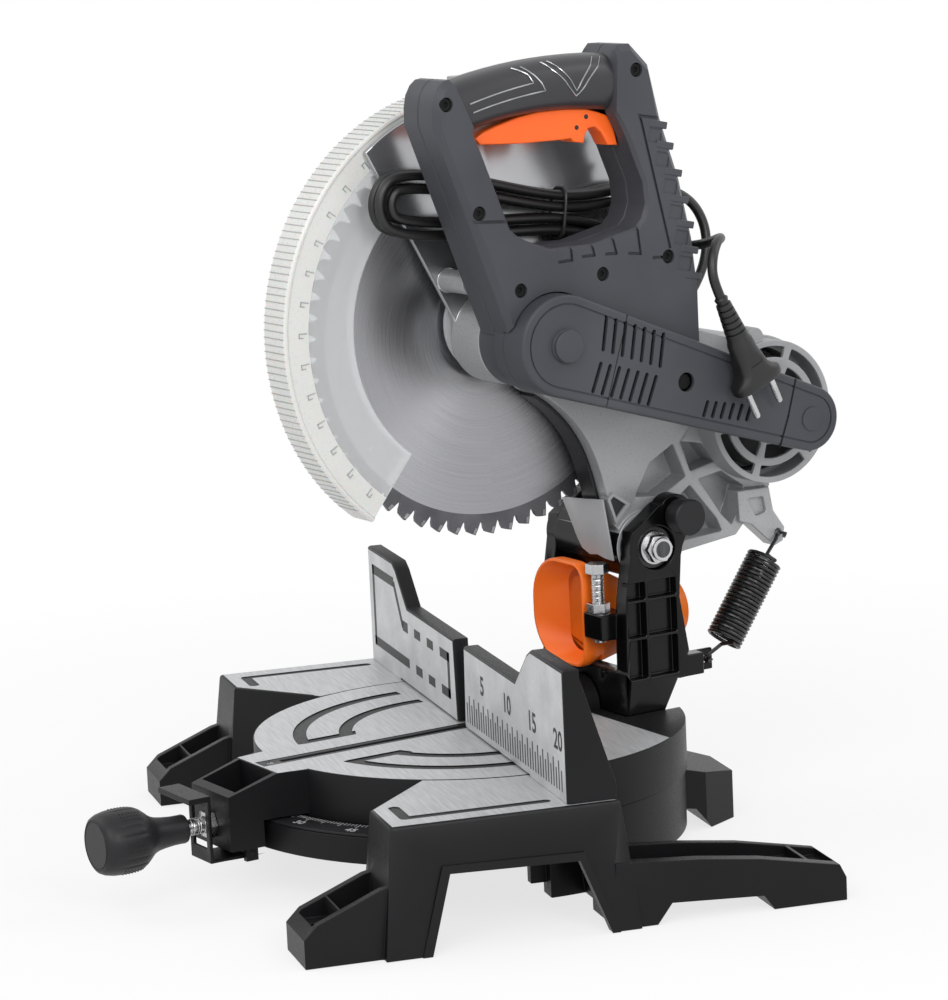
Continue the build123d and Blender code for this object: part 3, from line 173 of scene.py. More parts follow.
def layFloor(s):
    bm = bmesh.new()
    bmesh.ops.create_grid(bm, x_segments=1, y_segments=1, size=s["half"])
    mesh = bpy.data.meshes.new("floor")
    bm.to_mesh(mesh)
    bm.free()
    floor = bpy.data.objects.new("floor", mesh)
    floor.location.z = s["drop"]
    scene.collection.objects.link(floor)
    mat = bpy.data.materials.new("paleFloor")
    mat.use_nodes = True
    tree = mat.node_tree
    tree.nodes.clear()
    coords = shaderNode(tree, "TexCoord", {}).outputs["Object"]
    far = shaderNode(tree, "VectorMath", {0: coords}, operation="LENGTH").outputs["Value"]
    fade = ranged(tree, far, s["nearReach"], s["farReach"], s["near"], 1.0)
    share = shaderNode(tree, "Math", {0: fade, 1: seenDirectly(tree)}, operation="MULTIPLY")
    pale = shaderNode(tree, "BsdfDiffuse", {"Color": s["pale"]})
    glow = shaderNode(tree, "Emission", {"Strength": 1.0})
    mix = shaderNode(tree, "MixShader", {"Fac": share, 1: pale, 2: glow})
    shaderNode(tree, "OutputMaterial", {"Surface": mix})
    mesh.materials.append(mat)


layFloor(floorSettings)
print("light and floor made")


# two tones picked by a noise value
def toneRamp(tree, value, stops, dark, light):
    ramp = shaderNode(tree, "ValToRGB", {"Fac": value})
    for stop, position, colour in zip(ramp.color_ramp.elements, stops, (dark, light)):
        stop.position = position
        stop.color = tone(*colour)
    return ramp


def newFinish(name):
    mat = bpy.data.materials.new(name)
    mat.use_nodes = True
    return mat, mat.node_tree, shaderNode(mat.node_tree, "TexCoord", {}).outputs["Object"]


# noise values that take part in tones and in gloss, how milky plastic scatters, and a finish with nothing else said
finishSettings = {
    "tones": (0.32, 0.68), "gloss": (0.3, 0.7), "scatter": 0.003, "broad": 5, "fine": 2, "rings": 3,
    "plain": {"metal": 0.0, "specular": 0.5, "ior": 1.5, "alpha": 1.0, "milk": 0.0, "stretch": (1, 1, 1)}}


# one surface finish: two tones mottled by broad noise, fine grain in the gloss and the bump
def surfaceFinish(name, dark, light, rough, grain, bump, depth, patch, more):
    mat, tree, coords = newFinish(name)
    s = finishSettings
    look = {**s["plain"], **more}
    place = shaderNode(tree, "Mapping", {"Vector": coords, "Scale": look["stretch"]})
    broad = shaderNode(tree, "TexNoise", {"Vector": place, "Scale": patch, "Detail": s["broad"]})
    fine = shaderNode(tree, "TexNoise", {"Vector": place, "Scale": grain, "Detail": s["fine"]})
    relief = shaderNode(tree, "Bump", {"Height": fine, "Strength": bump, "Distance": depth})
    feed(tree, tree.nodes["Principled BSDF"], {
        "Metallic": look["metal"], "Specular IOR Level": look["specular"], "IOR": look["ior"],
        "Alpha": look["alpha"], "Subsurface Weight": look["milk"], "Subsurface Scale": s["scatter"],
        "Base Color": toneRamp(tree, broad, s["tones"], dark, light),
        "Roughness": ranged(tree, fine, *s["gloss"], *rough), "Normal": relief})
    return mat


# each row: name, dark and light tone, range of roughness, grain, bump and its depth, size of the patches, what else
finishes = {
    "satinBlack": ("satinBlackCasting", (13, 13, 15), (20, 20, 22), (0.34, 0.5),
        1100, 0.16, 0.0001, 9, {"specular": 0.21}),
    "glossBlack": ("glossBlackCasting", (6, 6, 7), (10, 10, 11), (0.15, 0.25),
        700, 0.1, 0.0001, 12, {"specular": 0.26}),
    "mouldedBlack": ("mouldedBlackPlastic", (28, 28, 30), (36, 36, 38), (0.36, 0.5),
        1700, 0.3, 0.0001, 11, {"specular": 0.26}),
    "shellBlack": ("greyBlackShell", (63, 64, 69), (75, 76, 81), (0.36, 0.5),
        1700, 0.3, 0.0001, 11, {"specular": 0.22}),
    "gripBlack": ("softGripBlack", (44, 44, 48), (54, 54, 58), (0.28, 0.4),
        1500, 0.2, 0.0001, 14, {"specular": 0.45}),
    "groundFace": ("groundSilverFace", (186, 187, 189), (206, 207, 208), (0.42, 0.62), 420, 0.12, 0.0001, 40,
        {"metal": 0.55, "stretch": (1, 14, 1)}),
    "greyCasting": ("greyPaintedCasting", (150, 152, 154), (164, 166, 168), (0.38, 0.5),
        900, 0.05, 0.0001, 8, {"metal": 0.1}),
    "glossGrey": ("glossGreyCasting", (152, 153, 155), (166, 167, 169), (0.26, 0.36),
        900, 0.04, 0.0001, 8, {"metal": 0.2}),
    "zinc": ("brightZinc", (178, 178, 180), (205, 205, 206), (0.18, 0.34), 1300, 0.04, 0.00006, 60, {"metal": 1.0}),
    "orange": ("orangePlastic", (250, 112, 22), (255, 124, 30), (0.34, 0.46), 1500, 0.15, 0.00008, 10, {}),
    "trigger": ("triggerOrange", (255, 100, 24), (255, 110, 34), (0.4, 0.54), 1800, 0.25, 0.00008, 12, {}),
    "rubber": ("blackRubber", (18, 18, 19), (27, 27, 28), (0.32, 0.46), 900, 0.12, 0.0001, 18, {}),
    "springSteel": ("blackSpringWire", (18, 18, 19), (30, 30, 31), (0.24, 0.36), 900, 0.15, 0.00008, 60, {}),
    # near black for screw heads, as painted shade in their holes, and for the cover's parting lines
    "deepBlack": ("screwShadeAndSeamBlack", (7, 7, 8), (12, 12, 13), (0.5, 0.7), 1400, 0.2, 0.0001, 80, {"specular": 0.2}),
    "groove": ("blackGroovePaint", (38, 38, 39), (52, 52, 53), (0.5, 0.7), 900, 0.4, 0.0002, 40, {}),
    "ink": ("blackInk", (30, 30, 31), (44, 44, 45), (0.45, 0.6), 1500, 0.1, 0.00005, 120, {}),
    "paleInk": ("paleInk", (176, 176, 176), (206, 206, 206), (0.5, 0.65), 1500, 0.1, 0.00005, 160, {}),
    "milky": ("milkyGuardPlastic", (214, 214, 211), (226, 226, 223), (0.25, 0.36),
        500, 0.06, 0.0001, 8, {"milk": 0.25}),
    "clear": ("clearGuardPlastic", (232, 234, 236), (240, 242, 244), (0.06, 0.12), 60, 0.05, 0.0004, 8,
        {"alpha": 0.36, "ior": 1.45}),
    "milkyLine": ("milkyGuardLine", (150, 150, 147), (176, 176, 173), (0.3, 0.42), 500, 0.06, 0.0001, 30, {}),
    # darker rim band of the blade: painted shade and dark reflection
    "bladeRim": ("bladeRimPaintedShade", (84, 84, 88), (104, 104, 108), (0.28, 0.44), 700, 0.2, 0.0001, 40, {"metal": 0.9}),
    "carbide": ("carbideTip", (120, 120, 122), (160, 160, 162), (0.25, 0.4),
        1200, 0.15, 0.00008, 90, {"metal": 0.9}),
    # bright lines on the grip: painted highlights
    "gripHighlight": ("gripLinePaintedHighlight", (146, 147, 150), (176, 177, 180), (0.14, 0.24),
        1500, 0.1, 0.00005, 120, {"metal": 0.9}),
    "polished": ("polishedGuardPlate", (168, 169, 172), (196, 197, 200), (0.2, 0.23),
        40, 0.0, 0.0002, 7, {"metal": 0.85}),
    "darkSteel": ("darkLaminations", (70, 70, 72), (96, 96, 99), (0.35, 0.5), 260, 0.35, 0.0002, 60,
        {"metal": 0.9, "stretch": (40, 1, 1)}),
    "flap": ("greyFlapRubber", (148, 148, 150), (166, 166, 168), (0.36, 0.5), 800, 0.15, 0.0001, 20, {}),
}
made = {key: surfaceFinish(*row) for key, row in finishes.items()}

# blade plate: brushed in circles round the bore, with a tangent that follows the brushing
brushedSettings = {
    "name": "brushedBladePlate", "middle": (23.7, 323.2), "dark": (146, 146, 150), "light": (174, 174, 178),
    "rough": (0.25, 0.33), "brushed": 0.86, "rings": 9000.0, "around": 0.9, "bump": 0.06, "depth": 0.0001}


def brushedFinish(s):
    mat, tree, coords = newFinish(s["name"])
    bore = fromHead(0, *s["middle"])
    place = shaderNode(tree, "Mapping", {"Vector": coords, "Location": bore, "Rotation": (0, 0, turnAngle)},
                       vector_type="TEXTURE")
    parts = shaderNode(tree, "SeparateXYZ", {"Vector": place}).outputs
    flat = shaderNode(tree, "CombineXYZ", {"X": parts["Y"], "Y": parts["Z"]})
    far = shaderNode(tree, "VectorMath", {0: flat}, operation="LENGTH").outputs["Value"]
    turn = shaderNode(tree, "Math", {0: parts["Y"], 1: parts["Z"]}, operation="ARCTAN2")
    out = shaderNode(tree, "Math", {0: far, 1: s["rings"]}, operation="MULTIPLY")
    around = shaderNode(tree, "Math", {0: turn, 1: s["around"]}, operation="MULTIPLY")
    spread = shaderNode(tree, "CombineXYZ", {"X": out, "Y": around})
    grain = shaderNode(tree, "TexNoise", {"Vector": spread, "Scale": 1.0, "Detail": finishSettings["rings"]})
    relief = shaderNode(tree, "Bump", {"Height": grain, "Strength": s["bump"], "Distance": s["depth"]})
    fromBore = shaderNode(tree, "VectorMath", {0: coords, 1: bore}, operation="SUBTRACT")
    tangent = shaderNode(tree, "VectorMath", {0: headTurn.col[0].xyz, 1: fromBore}, operation="CROSS_PRODUCT")
    feed(tree, tree.nodes["Principled BSDF"], {
        "Metallic": 1.0, "Anisotropic": s["brushed"], "Normal": relief, "Tangent": tangent,
        "Base Color": toneRamp(tree, grain, finishSettings["gloss"], s["dark"], s["light"]),
        "Roughness": ranged(tree, grain, *finishSettings["gloss"], *s["rough"])})
    return mat


made["brushedBlade"] = brushedFinish(brushedSettings)
print("finishes made:", len(made))

# drawing helpers: a mesh is drawn in millimetres in the head's own frame, then put in place
drawSettings = {
    "weld": 1e-4, "nodeWeld": 2e-6, "flat": 0.6, "edgeAngle": 34, "facing": 0.95, "onPlane": 1e-6, "same": 0.01,
    "sharp": 32, "sides": 32, "drop": 0.003}


# finish names the piece's finishes, in the order of its faces' numbers
def addPiece(name, bm, body, finish, sharp=drawSettings["sharp"]):
    mesh = bpy.data.meshes.new(name)
    bm.normal_update()
    for face in bm.faces:
        face.smooth = True
    for edge in bm.edges:
        edge.smooth = len(edge.link_faces) == 2 and edge.calc_face_angle(pi) < radians(sharp)
    bm.to_mesh(mesh)
    bm.free()
    for key in finish.split():
        mesh.materials.append(made[key])
    piece = bpy.data.objects.new(name, mesh)
    scene.collection.objects.link(piece)
    if body:
        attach(piece, body)
    return piece


def everything(bm):
    return bm.verts[:] + bm.edges[:] + bm.faces[:]


def paintFaces(faces, pick):
    for face in faces:
        face.material_index = pick(face)


def splitFaces(bm):
    bmesh.ops.triangulate(bm, faces=[face for face in bm.faces if len(face.verts) > 4])
    return bm


# copy of a CAD node with its triangles merged back to whole faces
def wholeFaces(node):
    bm = bmesh.new()
    bm.from_mesh(nodes[node].data)
    bmesh.ops.remove_doubles(bm, verts=bm.verts, dist=drawSettings["nodeWeld"])
    bmesh.ops.dissolve_limit(bm, angle_limit=radians(drawSettings["flat"]), verts=bm.verts, edges=bm.edges)
    return bm


# puts a dressed copy in the place of a CAD node
def dressed(node, finish, width, slot=None, paint=None, bm=None, angle=drawSettings["edgeAngle"]):
    if bm is None:
        bm = splitFaces(wholeFaces(node))
    if paint:
        bm.normal_update()
        paintFaces(bm.faces, paint)
    piece = addPiece(node + "Dressed", bm, nodeBody[node], finish)
    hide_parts(node)
    if width:
        bevel = piece.modifiers.new("edges", "BEVEL")
        bevel.width = width
        bevel.segments = 2
        bevel.limit_method = "ANGLE"
        bevel.angle_limit = radians(angle)
        bevel.use_clamp_overlap = False
        bevel.loop_slide = False
        bevel.harden_normals = True
        bevel.miter_outer = "MITER_ARC"


# edges round a face that passes the test, where the neighbour drops away by more than the reach
def rimEdges(bm, test, reach=drawSettings["drop"]):
    bm.normal_update()
    found = []
    for edge in bm.edges:
        if len(edge.link_faces) != 2 or test(edge.link_faces[0]) == test(edge.link_faces[1]):
            continue
        top, side = sorted(edge.link_faces, key=test, reverse=True)
        if max(abs((vert.co - edge.verts[0].co).dot(top.normal)) for vert in side.verts) > reach:
            found.append(edge)
    return found


def sharpEdges(verts):
    return list({edge for vert in verts for edge in vert.link_edges if edge.calc_face_angle() > 1})


def bevelled(bm, edges, width, segments=2):
    bmesh.ops.bevel(bm, geom=edges, offset=width, affect="EDGES", segments=segments, profile=0.5, material=-1)
    return bm


def softened(bm, edges, width, segments=2):
    splitFaces(bevelled(bm, edges, width, segments))
    bm.normal_update()
    return bm


def put(bm, place=inHead):
    bmesh.ops.transform(bm, matrix=place, verts=bm.verts)
    return bm


def outward(bm):
    bmesh.ops.remove_doubles(bm, verts=bm.verts, dist=drawSettings["weld"])
    bmesh.ops.recalc_face_normals(bm, faces=bm.faces)
    return bm


# value to a power with its sign kept: powers under one make a round section squarer
def squarer(value, power):
    return abs(value) ** power * (1 if value > 0 else -1)


# grid whose points are placed by their number across and along
def sheet(bm, across, along, place):
    verts = bmesh.ops.create_grid(bm, x_segments=across, y_segments=along, size=1)["verts"]
    for vert in verts:
        vert.co = place(round((vert.co.x + 1) / 2 * across), round((vert.co.y + 1) / 2 * along))


def block(bm, x0, x1, y0, y1, z0, z1, turn=Matrix()):
    place = Matrix.Translation(((x0 + x1) / 2, (y0 + y1) / 2, (z0 + z1) / 2))
    size = Matrix.Diagonal((x1 - x0, y1 - y0, z1 - z0, 1))
    return bmesh.ops.create_cube(bm, size=1, matrix=place @ turn @ size)["verts"]


# turns a drawing that lies round z so that it lies round an axis along x
def ontoX(x, y, z):
    return Matrix.Translation((x, y, z)) @ Matrix.Rotation(pi / 2, 4, "Y")


def barX(bm, radius, x0, x1, y, z, segments=drawSettings["sides"]):
    place = ontoX((x0 + x1) / 2, y, z)
    return bmesh.ops.create_cone(bm, cap_ends=True, segments=segments, radius1=radius, radius2=radius,
                                 depth=x1 - x0, matrix=place)["verts"]


def ringX(bm, radius, x, y, z, segments):
    place = ontoX(x, y, z)
    return bmesh.ops.create_circle(bm, cap_ends=False, segments=segments, radius=radius, matrix=place)["verts"]


def pushed(bm, faces, way):
    grown = bmesh.ops.extrude_face_region(bm, geom=faces)["geom"]
    bmesh.ops.translate(bm, vec=way, verts=[item for item in grown if isinstance(item, bmesh.types.BMVert)])


def slabX(bm, outline, x0, x1):
    face = bm.faces.new([bm.verts.new((x0, y, z)) for y, z in outline])
    pushed(bm, [face], (x1 - x0, 0, 0))


# bar of rectangular section from one (y, z) point to another, standing on the plane x
def stripX(bm, a, b, width, x0, x1):
    along = Vector((b[0] - a[0], b[1] - a[1]))
    turn = Matrix.Rotation(atan2(along.y, along.x), 4, "X")
    middle = ((a[0] + b[0]) / 2, (a[1] + b[1]) / 2)
    half = along.length / 2 + width / 2
    block(bm, x0, x1, middle[0] - half, middle[0] + half, middle[1] - width / 2, middle[1] + width / 2, turn)


# point at an angle round an axis along x
def aroundX(middle, x, radius, angle):
    return Vector((x, middle[0] + radius * cos(radians(angle)), middle[1] + radius * sin(radians(angle))))


# copies of a drawing round such an axis
def repeatX(bm, middle, angle, count):
    bmesh.ops.spin(bm, geom=everything(bm), cent=(0, *middle), axis=(1, 0, 0), angle=radians(angle),
                   steps=count - 1, use_duplicate=True)


# sweeps a face round an axis; a full turn has no end faces
def swept(bm, points, centre, axis, angle, steps):
    face = bm.faces.new([bm.verts.new(point) for point in points])
    full = angle >= 360
    bmesh.ops.spin(bm, geom=list(face.edges) if full else [face] + list(face.edges) + list(face.verts),
                   cent=centre, axis=axis, angle=radians(angle), steps=steps, use_merge=full)
    if full:
        bm.faces.remove(face)


# turns a profile of points along an axis and out from it
def lathe(bm, profile, axis, centre, steps):
    axis, centre = Vector(axis), Vector(centre)
    verts = [bm.verts.new(centre + axis * along + Vector((0, 0, out))) for along, out in profile]
    edges = [bm.edges.new(pair) for pair in zip(verts, verts[1:])]
    bmesh.ops.spin(bm, geom=edges, cent=centre, axis=axis, angle=2 * pi, steps=steps, use_merge=True)
    return outward(bm)


# cuts one drawing out of another
def carved(blank, tool):
    holders = []
    for name, form in (("blank", blank), ("tool", tool)):
        bmesh.ops.recalc_face_normals(form, faces=form.faces)
        mesh = bpy.data.meshes.new(name)
        form.to_mesh(mesh)
        form.free()
        holders.append(bpy.data.objects.new(name, mesh))
        scene.collection.objects.link(holders[-1])
    cut = holders[0].modifiers.new("cut", "BOOLEAN")
    cut.operation = "DIFFERENCE"
    cut.solver = "EXACT"
    cut.use_self = True
    cut.object = holders[1]
    bpy.context.view_layer.update()
    cutMesh = bpy.data.meshes.new_from_object(holders[0].evaluated_get(bpy.context.evaluated_depsgraph_get()))
    bm = bmesh.new()
    bm.from_mesh(cutMesh)
    bpy.data.meshes.remove(cutMesh)
    for holder in holders:
        mesh = holder.data
        bpy.data.objects.remove(holder)
        bpy.data.meshes.remove(mesh)
    return bm


# cuts a mesh through by a plane given in the head's frame
def planeCut(bm, point, normal, keepLow):
    return bmesh.ops.bisect_plane(bm, geom=everything(bm), dist=drawSettings["onPlane"], plane_co=fromHead(*point),
                                  plane_no=headTurn.to_3x3() @ Vector(normal), clear_outer=keepLow)["geom_cut"]


# part of a CAD node on the low side of a plane, closed again where it was cut
def trimmed(node, point, normal, finish, slot, width):
    bm = splitFaces(wholeFaces(node))
    cut = planeCut(bm, point, normal, True)
    bmesh.ops.holes_fill(bm, edges=[item for item in cut if isinstance(item, bmesh.types.BMEdge)], sides=0)
    dressed(node, finish, width, slot, bm=bm)


def curveThrough(name, kind, points, radius, sides):
    curve = bpy.data.curves.new(name, "CURVE")
    curve.dimensions = "3D"
    curve.bevel_depth = radius
    curve.bevel_resolution = sides
    spline = curve.splines.new(kind)
    spline.points.add(len(points) - 1)
    for point, place in zip(spline.points, points):
        point.co = (*place, 1)
    return curve


# adds the mesh of a curve or a word to a drawing
def drawCurve(bm, curve, fit=None):
    holder = bpy.data.objects.new(curve.name, curve)
    mesh = bpy.data.meshes.new_from_object(holder)
    if fit:
        mesh.transform(fit(mesh))
    bm.from_mesh(mesh)
    bpy.data.objects.remove(holder)
    bpy.data.curves.remove(curve)
    bpy.data.meshes.remove(mesh)


# round wire along a list of points
def wire(bm, points, radius, sides=2):
    curve = curveThrough("wire", "POLY", points, radius, sides)
    curve.use_fill_caps = True
    drawCurve(bm, curve)


# mains cord: strain relief, lead, hank with a waist, tail and plug on one spline
cordSettings = {
    "diameter": 0.0062, "length": 1.81, "tilt": -7.7, "middle": (22.8, 65.0, 396.0), "layer": 7.8, "front": -112.0,
    "frontRun": 40.0, "frontTurn": 112.5, "backTurn": -67.5, "back": 42.0, "lead": 63.0, "waist": 16.0,
    "climbBack": 4.0, "sizes": (18.2, 10.0, 10.0, 18.2), "pinches": (10.8, 3.6, 3.6, 10.8), "layers": (0, 0, 1, 1),
    "climb": (0.05, 0.33, 0.67, 0.95), "relief": (52, 130, 322), "reliefWay": (-0.34, 0.76, 0.55),
    "reliefRun": (25, 35), "hankRun": 12.0, "plugTop": (104.5, 131, 342), "plugDown": (0, 0.42, -0.907),
    "plugRun": 8.0, "corner": 45.0, "sides": 4, "smooth": 6, "order": 3,
    "leadRoute": [(37.5, 166, 353.5), (34.5, 171.5, 367), (31.5, 171.5, 381), (28.5, 165.5, 393.5),
        (25.5, 154, 401.7)],
    "tailRoute": [(37, 147.6, 367.5), (48.2, 154, 368.5), (62, 155, 371.5), (75, 152, 375), (86, 146, 376.5),
        (95, 136.5, 376), (101.3, 128.7, 369.5), (103.9, 125.4, 359)]}


def hankPlace(along, across, layer):
    s = cordSettings
    t = radians(s["tilt"])
    x, y, z = s["middle"]
    return (x + layer * s["layer"], y + along * cos(t) - across * sin(t), z + along * sin(t) + across * cos(t))


# half a turn of the hank in four corner points
def hankTurn(at, middle, size, start, layers):
    corner = cordSettings["corner"]
    corners = [radians(start + corner * k) for k in range(4)]
    reach = size / cos(radians(corner / 2))
    return [hankPlace(at + reach * cos(a), middle + reach * sin(a), layer) for a, layer in zip(corners, layers)]


def hankPoints(s):
    first, last = s["sizes"][0], s["sizes"][-1]
    points = [hankPlace(s["lead"], first, 0), hankPlace(s["back"], first, 0)]
    rows = list(zip(s["sizes"], s["pinches"], s["layers"]))
    for i, (size, pinch, layer) in enumerate(rows):
        run = [(s["waist"], pinch), (-s["waist"], pinch), (s["front"] + s["frontRun"], size)]
        points += [hankPlace(along, across, layer) for along, across in run]
        points += hankTurn(s["front"], 0, size, s["frontTurn"], [layer] * 4)
        points += [hankPlace(along, -across, layer) for along, across in reversed(run)]
        if i + 1 < len(rows):
            after, climb = rows[i + 1][0], rows[i + 1][2] - layer
            layers = [layer + climb * share for share in s["climb"]]
            back = s["back"] - s["climbBack"] * climb
            points += hankTurn(back, (after - size) / 2, (after + size) / 2, s["backTurn"], layers)
    return points + [hankPlace(s["back"], -last, s["layers"][-1]), hankPlace(s["lead"], -last, s["layers"][-1])]


def cordRoute(s):
    reliefWay, plugWay = Vector(s["reliefWay"]).normalized(), Vector(s["plugDown"]).normalized()
    hank = hankPoints(s)
    t = radians(s["tilt"])
    backward = Vector((0, cos(t), sin(t))) * s["hankRun"]
    plugTop = Vector(s["plugTop"])
    points = [Vector(s["relief"]) + reliefWay * run for run in s["reliefRun"]]
    points += s["leadRoute"] + [Vector(hank[0]) + backward] + hank + [Vector(hank[-1]) + backward]
    points += s["tailRoute"] + [plugTop - plugWay * s["plugRun"], plugTop]
    return [fromHead(*point) for point in points]


def layCord(s):
    route = cordRoute(s)
    curve = curveThrough("mainsCord", "NURBS", route, s["diameter"] / 2, s["sides"])
    curve.resolution_u = s["smooth"]
    curve.splines[0].order_u = s["order"]
    curve.splines[0].use_endpoint_u = True
    curve.materials.append(made["rubber"])
    cord = bpy.data.objects.new("mainsCord", curve)
    scene.collection.objects.link(cord)
    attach(cord, "head")
    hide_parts("cord_lead", "cord_hank", "cord_tail")
    return cord, route


cord, route = layCord(cordSettings)

# plug: ribbed sleeve, body that widens to a flange, two round pins with pale collars
plugSettings = {
    "top": cordSettings["plugTop"], "down": cordSettings["plugDown"], "wide": (0, 0.907, 0.42), "around": 32,
    "ribs": 6, "ribStart": 3.0, "ribPitch": 4.0, "rib": [(0, -1.0), (0.9, -1.0), (1.1, 0.1), (3.8, 0.4)],
    "sleeve": (4.4, 7.2), "mouth": [(-0.6, None), (-0.6, -1.0), (0.4, 0.0)],
    "body": [(28, 7.2, 7.2), (31, 8.4, 8), (38, 9, 8.4), (45, 9.6, 8.6), (50, 10.8, 8.8), (53, 13.4, 9),
        (55.4, 16.8, 9), (57, 17.5, 9), (60.5, 17.5, 9), (62, 16.6, 8.2), (62, 0, 0)], "squareFrom": 44,
    "square": 0.62, "apart": 9.5, "pinSides": 20, "collarTo": 63.7, "sharp": 36,
    "pin": [(61, 3.3), (63.4, 3.3), (63.6, 2.2), (79, 2.2), (80.4, 1.6), (81, 0)],
    "recesses": [(-5, 5, -12, -8.1, 40, 47), (-5, 5, 8.1, 12, 40, 47)]}


def plugPlace(s):
    down, wide = Vector(s["down"]).normalized(), Vector(s["wide"]).normalized()
    turn = Matrix((wide, down.cross(wide), down)).transposed().to_4x4()
    return inHead @ Matrix.Translation(s["top"]) @ turn


def plugSection(s):
    small, large = s["sleeve"]
    rows = [(at, 0 if grow is None else small + grow) for at, grow in s["mouth"]]
    for k in range(s["ribs"]):
        start = s["ribStart"] + k * s["ribPitch"]
        size = small + (large - small) * start / s["body"][0][0]
        rows += [(start + at, size + grow) for at, grow in s["rib"]]
    return [(at, size, size) for at, size in rows] + s["body"]


def makePlug(s):
    rows = plugSection(s)
    bm, tool = bmesh.new(), bmesh.new()

    def place(i, j):
        at, wide, thick = rows[j]
        a = 2 * pi * i / s["around"]
        square = s["square"] if at > s["squareFrom"] else 1.0
        return (wide * squarer(cos(a), square), thick * squarer(sin(a), square), at)

    sheet(bm, s["around"], len(rows) - 1, place)
    outward(bm)
    for recess in s["recesses"]:
        block(tool, *recess)
    bm = carved(bm, tool)
    pins = len(bm.faces)
    for middle in (-s["apart"], s["apart"]):

        def pinPlace(i, j):
            at, radius = s["pin"][j]
            a = 2 * pi * i / s["pinSides"]
            return (middle + radius * cos(a), radius * sin(a), at)

        sheet(bm, s["pinSides"], len(s["pin"]) - 1, pinPlace)
    bm.faces.ensure_lookup_table()
    paintFaces(bm.faces[pins:], lambda face: 2 if max(v.co.z for v in face.verts) < s["collarTo"] else 1)
    outward(bm)
    piece = addPiece("mainsPlug", put(bm, plugPlace(s)), "head", "rubber zinc paleInk", s["sharp"])
    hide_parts("plug")
    return piece


# tie round the waist of the hank
tieSettings = {"radius": 1.1, "halfWide": 8.3, "halfHigh": 15.2, "steps": 48, "square": 0.5}


def makeTie(s):
    points = []
    for k in range(s["steps"] + 1):
        a = 2 * pi * k / s["steps"]
        wide = s["halfWide"] * squarer(cos(a), s["square"]) / cordSettings["layer"]
        points.append(hankPlace(0, s["halfHigh"] * squarer(sin(a), s["square"]), 0.5 + wide))
    bm = bmesh.new()
    wire(bm, points, s["radius"])
    return addPiece("cordTie", put(bm), "head", "rubber")


plugPiece = makePlug(plugSettings)
tiePiece = makeTie(tieSettings)
tuple(route[0])
print("cord laid:", len(route), "points")

# castings and mouldings: tops are ground bright, with black grooves
topPaint = {"silver": 0.0757, "groove": 0.0748}


def silverOnTop(face):
    height = face.calc_center_median().z if face.normal.z > drawSettings["facing"] else 0
    return 1 if height > topPaint["silver"] else 2 if height > topPaint["groove"] else 0


def isSilver(face):
    return silverOnTop(face) == 1


def silverInFront(face):
    return 1 if face.normal.y < -drawSettings["facing"] else 0


# right side of the guard plate that the arm carries, and the hub between the cheeks, painted gloss black as painted
# shade
armPaint = {"plate": (11.5, 13.0), "facing": 0.9, "pivot": (114.5, 180.5), "hub": 22.6, "hubShadeTo": 8.0}


def paintArm(face):
    x, y, z = (headBack @ face.calc_center_median()) / mm
    if armPaint["plate"][0] < x < armPaint["plate"][1] and (headBack @ face.normal).x > armPaint["facing"]:
        return 1
    fromPivot = sqrt((y - armPaint["pivot"][0]) ** 2 + (z - armPaint["pivot"][1]) ** 2)
    # faces of the hub between the cheeks take gloss black, as painted shade
    return 2 if x < armPaint["hubShadeTo"] and fromPivot < armPaint["hub"] else 0


# wings and fences have a black bevelled rim round the ground face
rimSettings = {"wide": 0.0019, "fine": 0.0005, "fineAngle": 60, "tableRing": (0.1355, 0.1395), "fenceFoot": 0.0785}


def dressBase(s):
    bm = wholeFaces("base_casting")
    near, far = s["tableRing"]
    edges = [edge for edge in rimEdges(bm, isSilver)
             if not all(near < vert.co.xy.length < far for vert in edge.verts)]
    dressed("base_casting", "satinBlack groundFace groove", s["fine"], "black_casting", silverOnTop,
            softened(bm, edges, s["wide"]), s["fineAngle"])


def dressFence(node, s):
    bm = wholeFaces(node)
    edges = [edge for edge in rimEdges(bm, silverInFront)
             if max(vert.co.z for vert in edge.verts) > s["fenceFoot"]]
    dressed(node, "satinBlack groundFace", s["fine"], "fence_face", silverInFront,
            softened(bm, edges, s["wide"]), s["fineAngle"])


dressBase(rimSettings)
dressFence("fence_right", rimSettings)
dressFence("fence_left", rimSettings)


# castings and mouldings that keep their form: finishes, width of the bevelled edges in metres, slot, paint
def dressAll(looks):
    for node, look in looks.items():
        dressed(node, *look)


castings = {
    "bevel_bracket": ("glossBlack", 0.0009, "black_casting"),
    "detent_lever": ("satinBlack", 0.0004, "black_casting"),
    "bevel_lock_lever": ("mouldedBlack", 0.001, "black_plastic"),
    # the arm's hub between the cheeks is painted gloss black: painted shade
    "arm_casting": ("glossGrey polished glossBlack", 0.0009, "grey_casting", paintArm),
    "upper_guard": ("glossGrey", 0.0009, "grey_casting"),
    "motor_housing": ("greyCasting", 0.0008, "grey_casting"),
    "motor_end_cap": ("greyCasting", 0.0007, "grey_casting")}
mouldings = {
    "fence_clamp_knob": ("mouldedBlack", 0.0008, "black_plastic"),
    "edge_strip": ("rubber", 0.0006, "rubber"), "strain_relief": ("rubber", 0.0006, "rubber")}
dressAll(castings)

# belt cover with a rounded rim, a raised hub cap and its parting lines
coverSettings = {
    "face": 94.0, "nearFace": 0.3, "rim": 0.0032, "deep": 0.012, "cap": (9.9, 95.0, 98.6, 23.7, 323.2),
    "capEdge": 0.8, "capSides": 48, "capSharp": 40, "sunk": 0.6, "proud": 0.05,
    "lines": [((68.8, 337.0), (51.2, 283.5), 0.55), ((193.6, 283.0), (187.2, 261.0), 1.4),
        ((187.2, 261.0), (180.2, 242.6), 1.4)]}


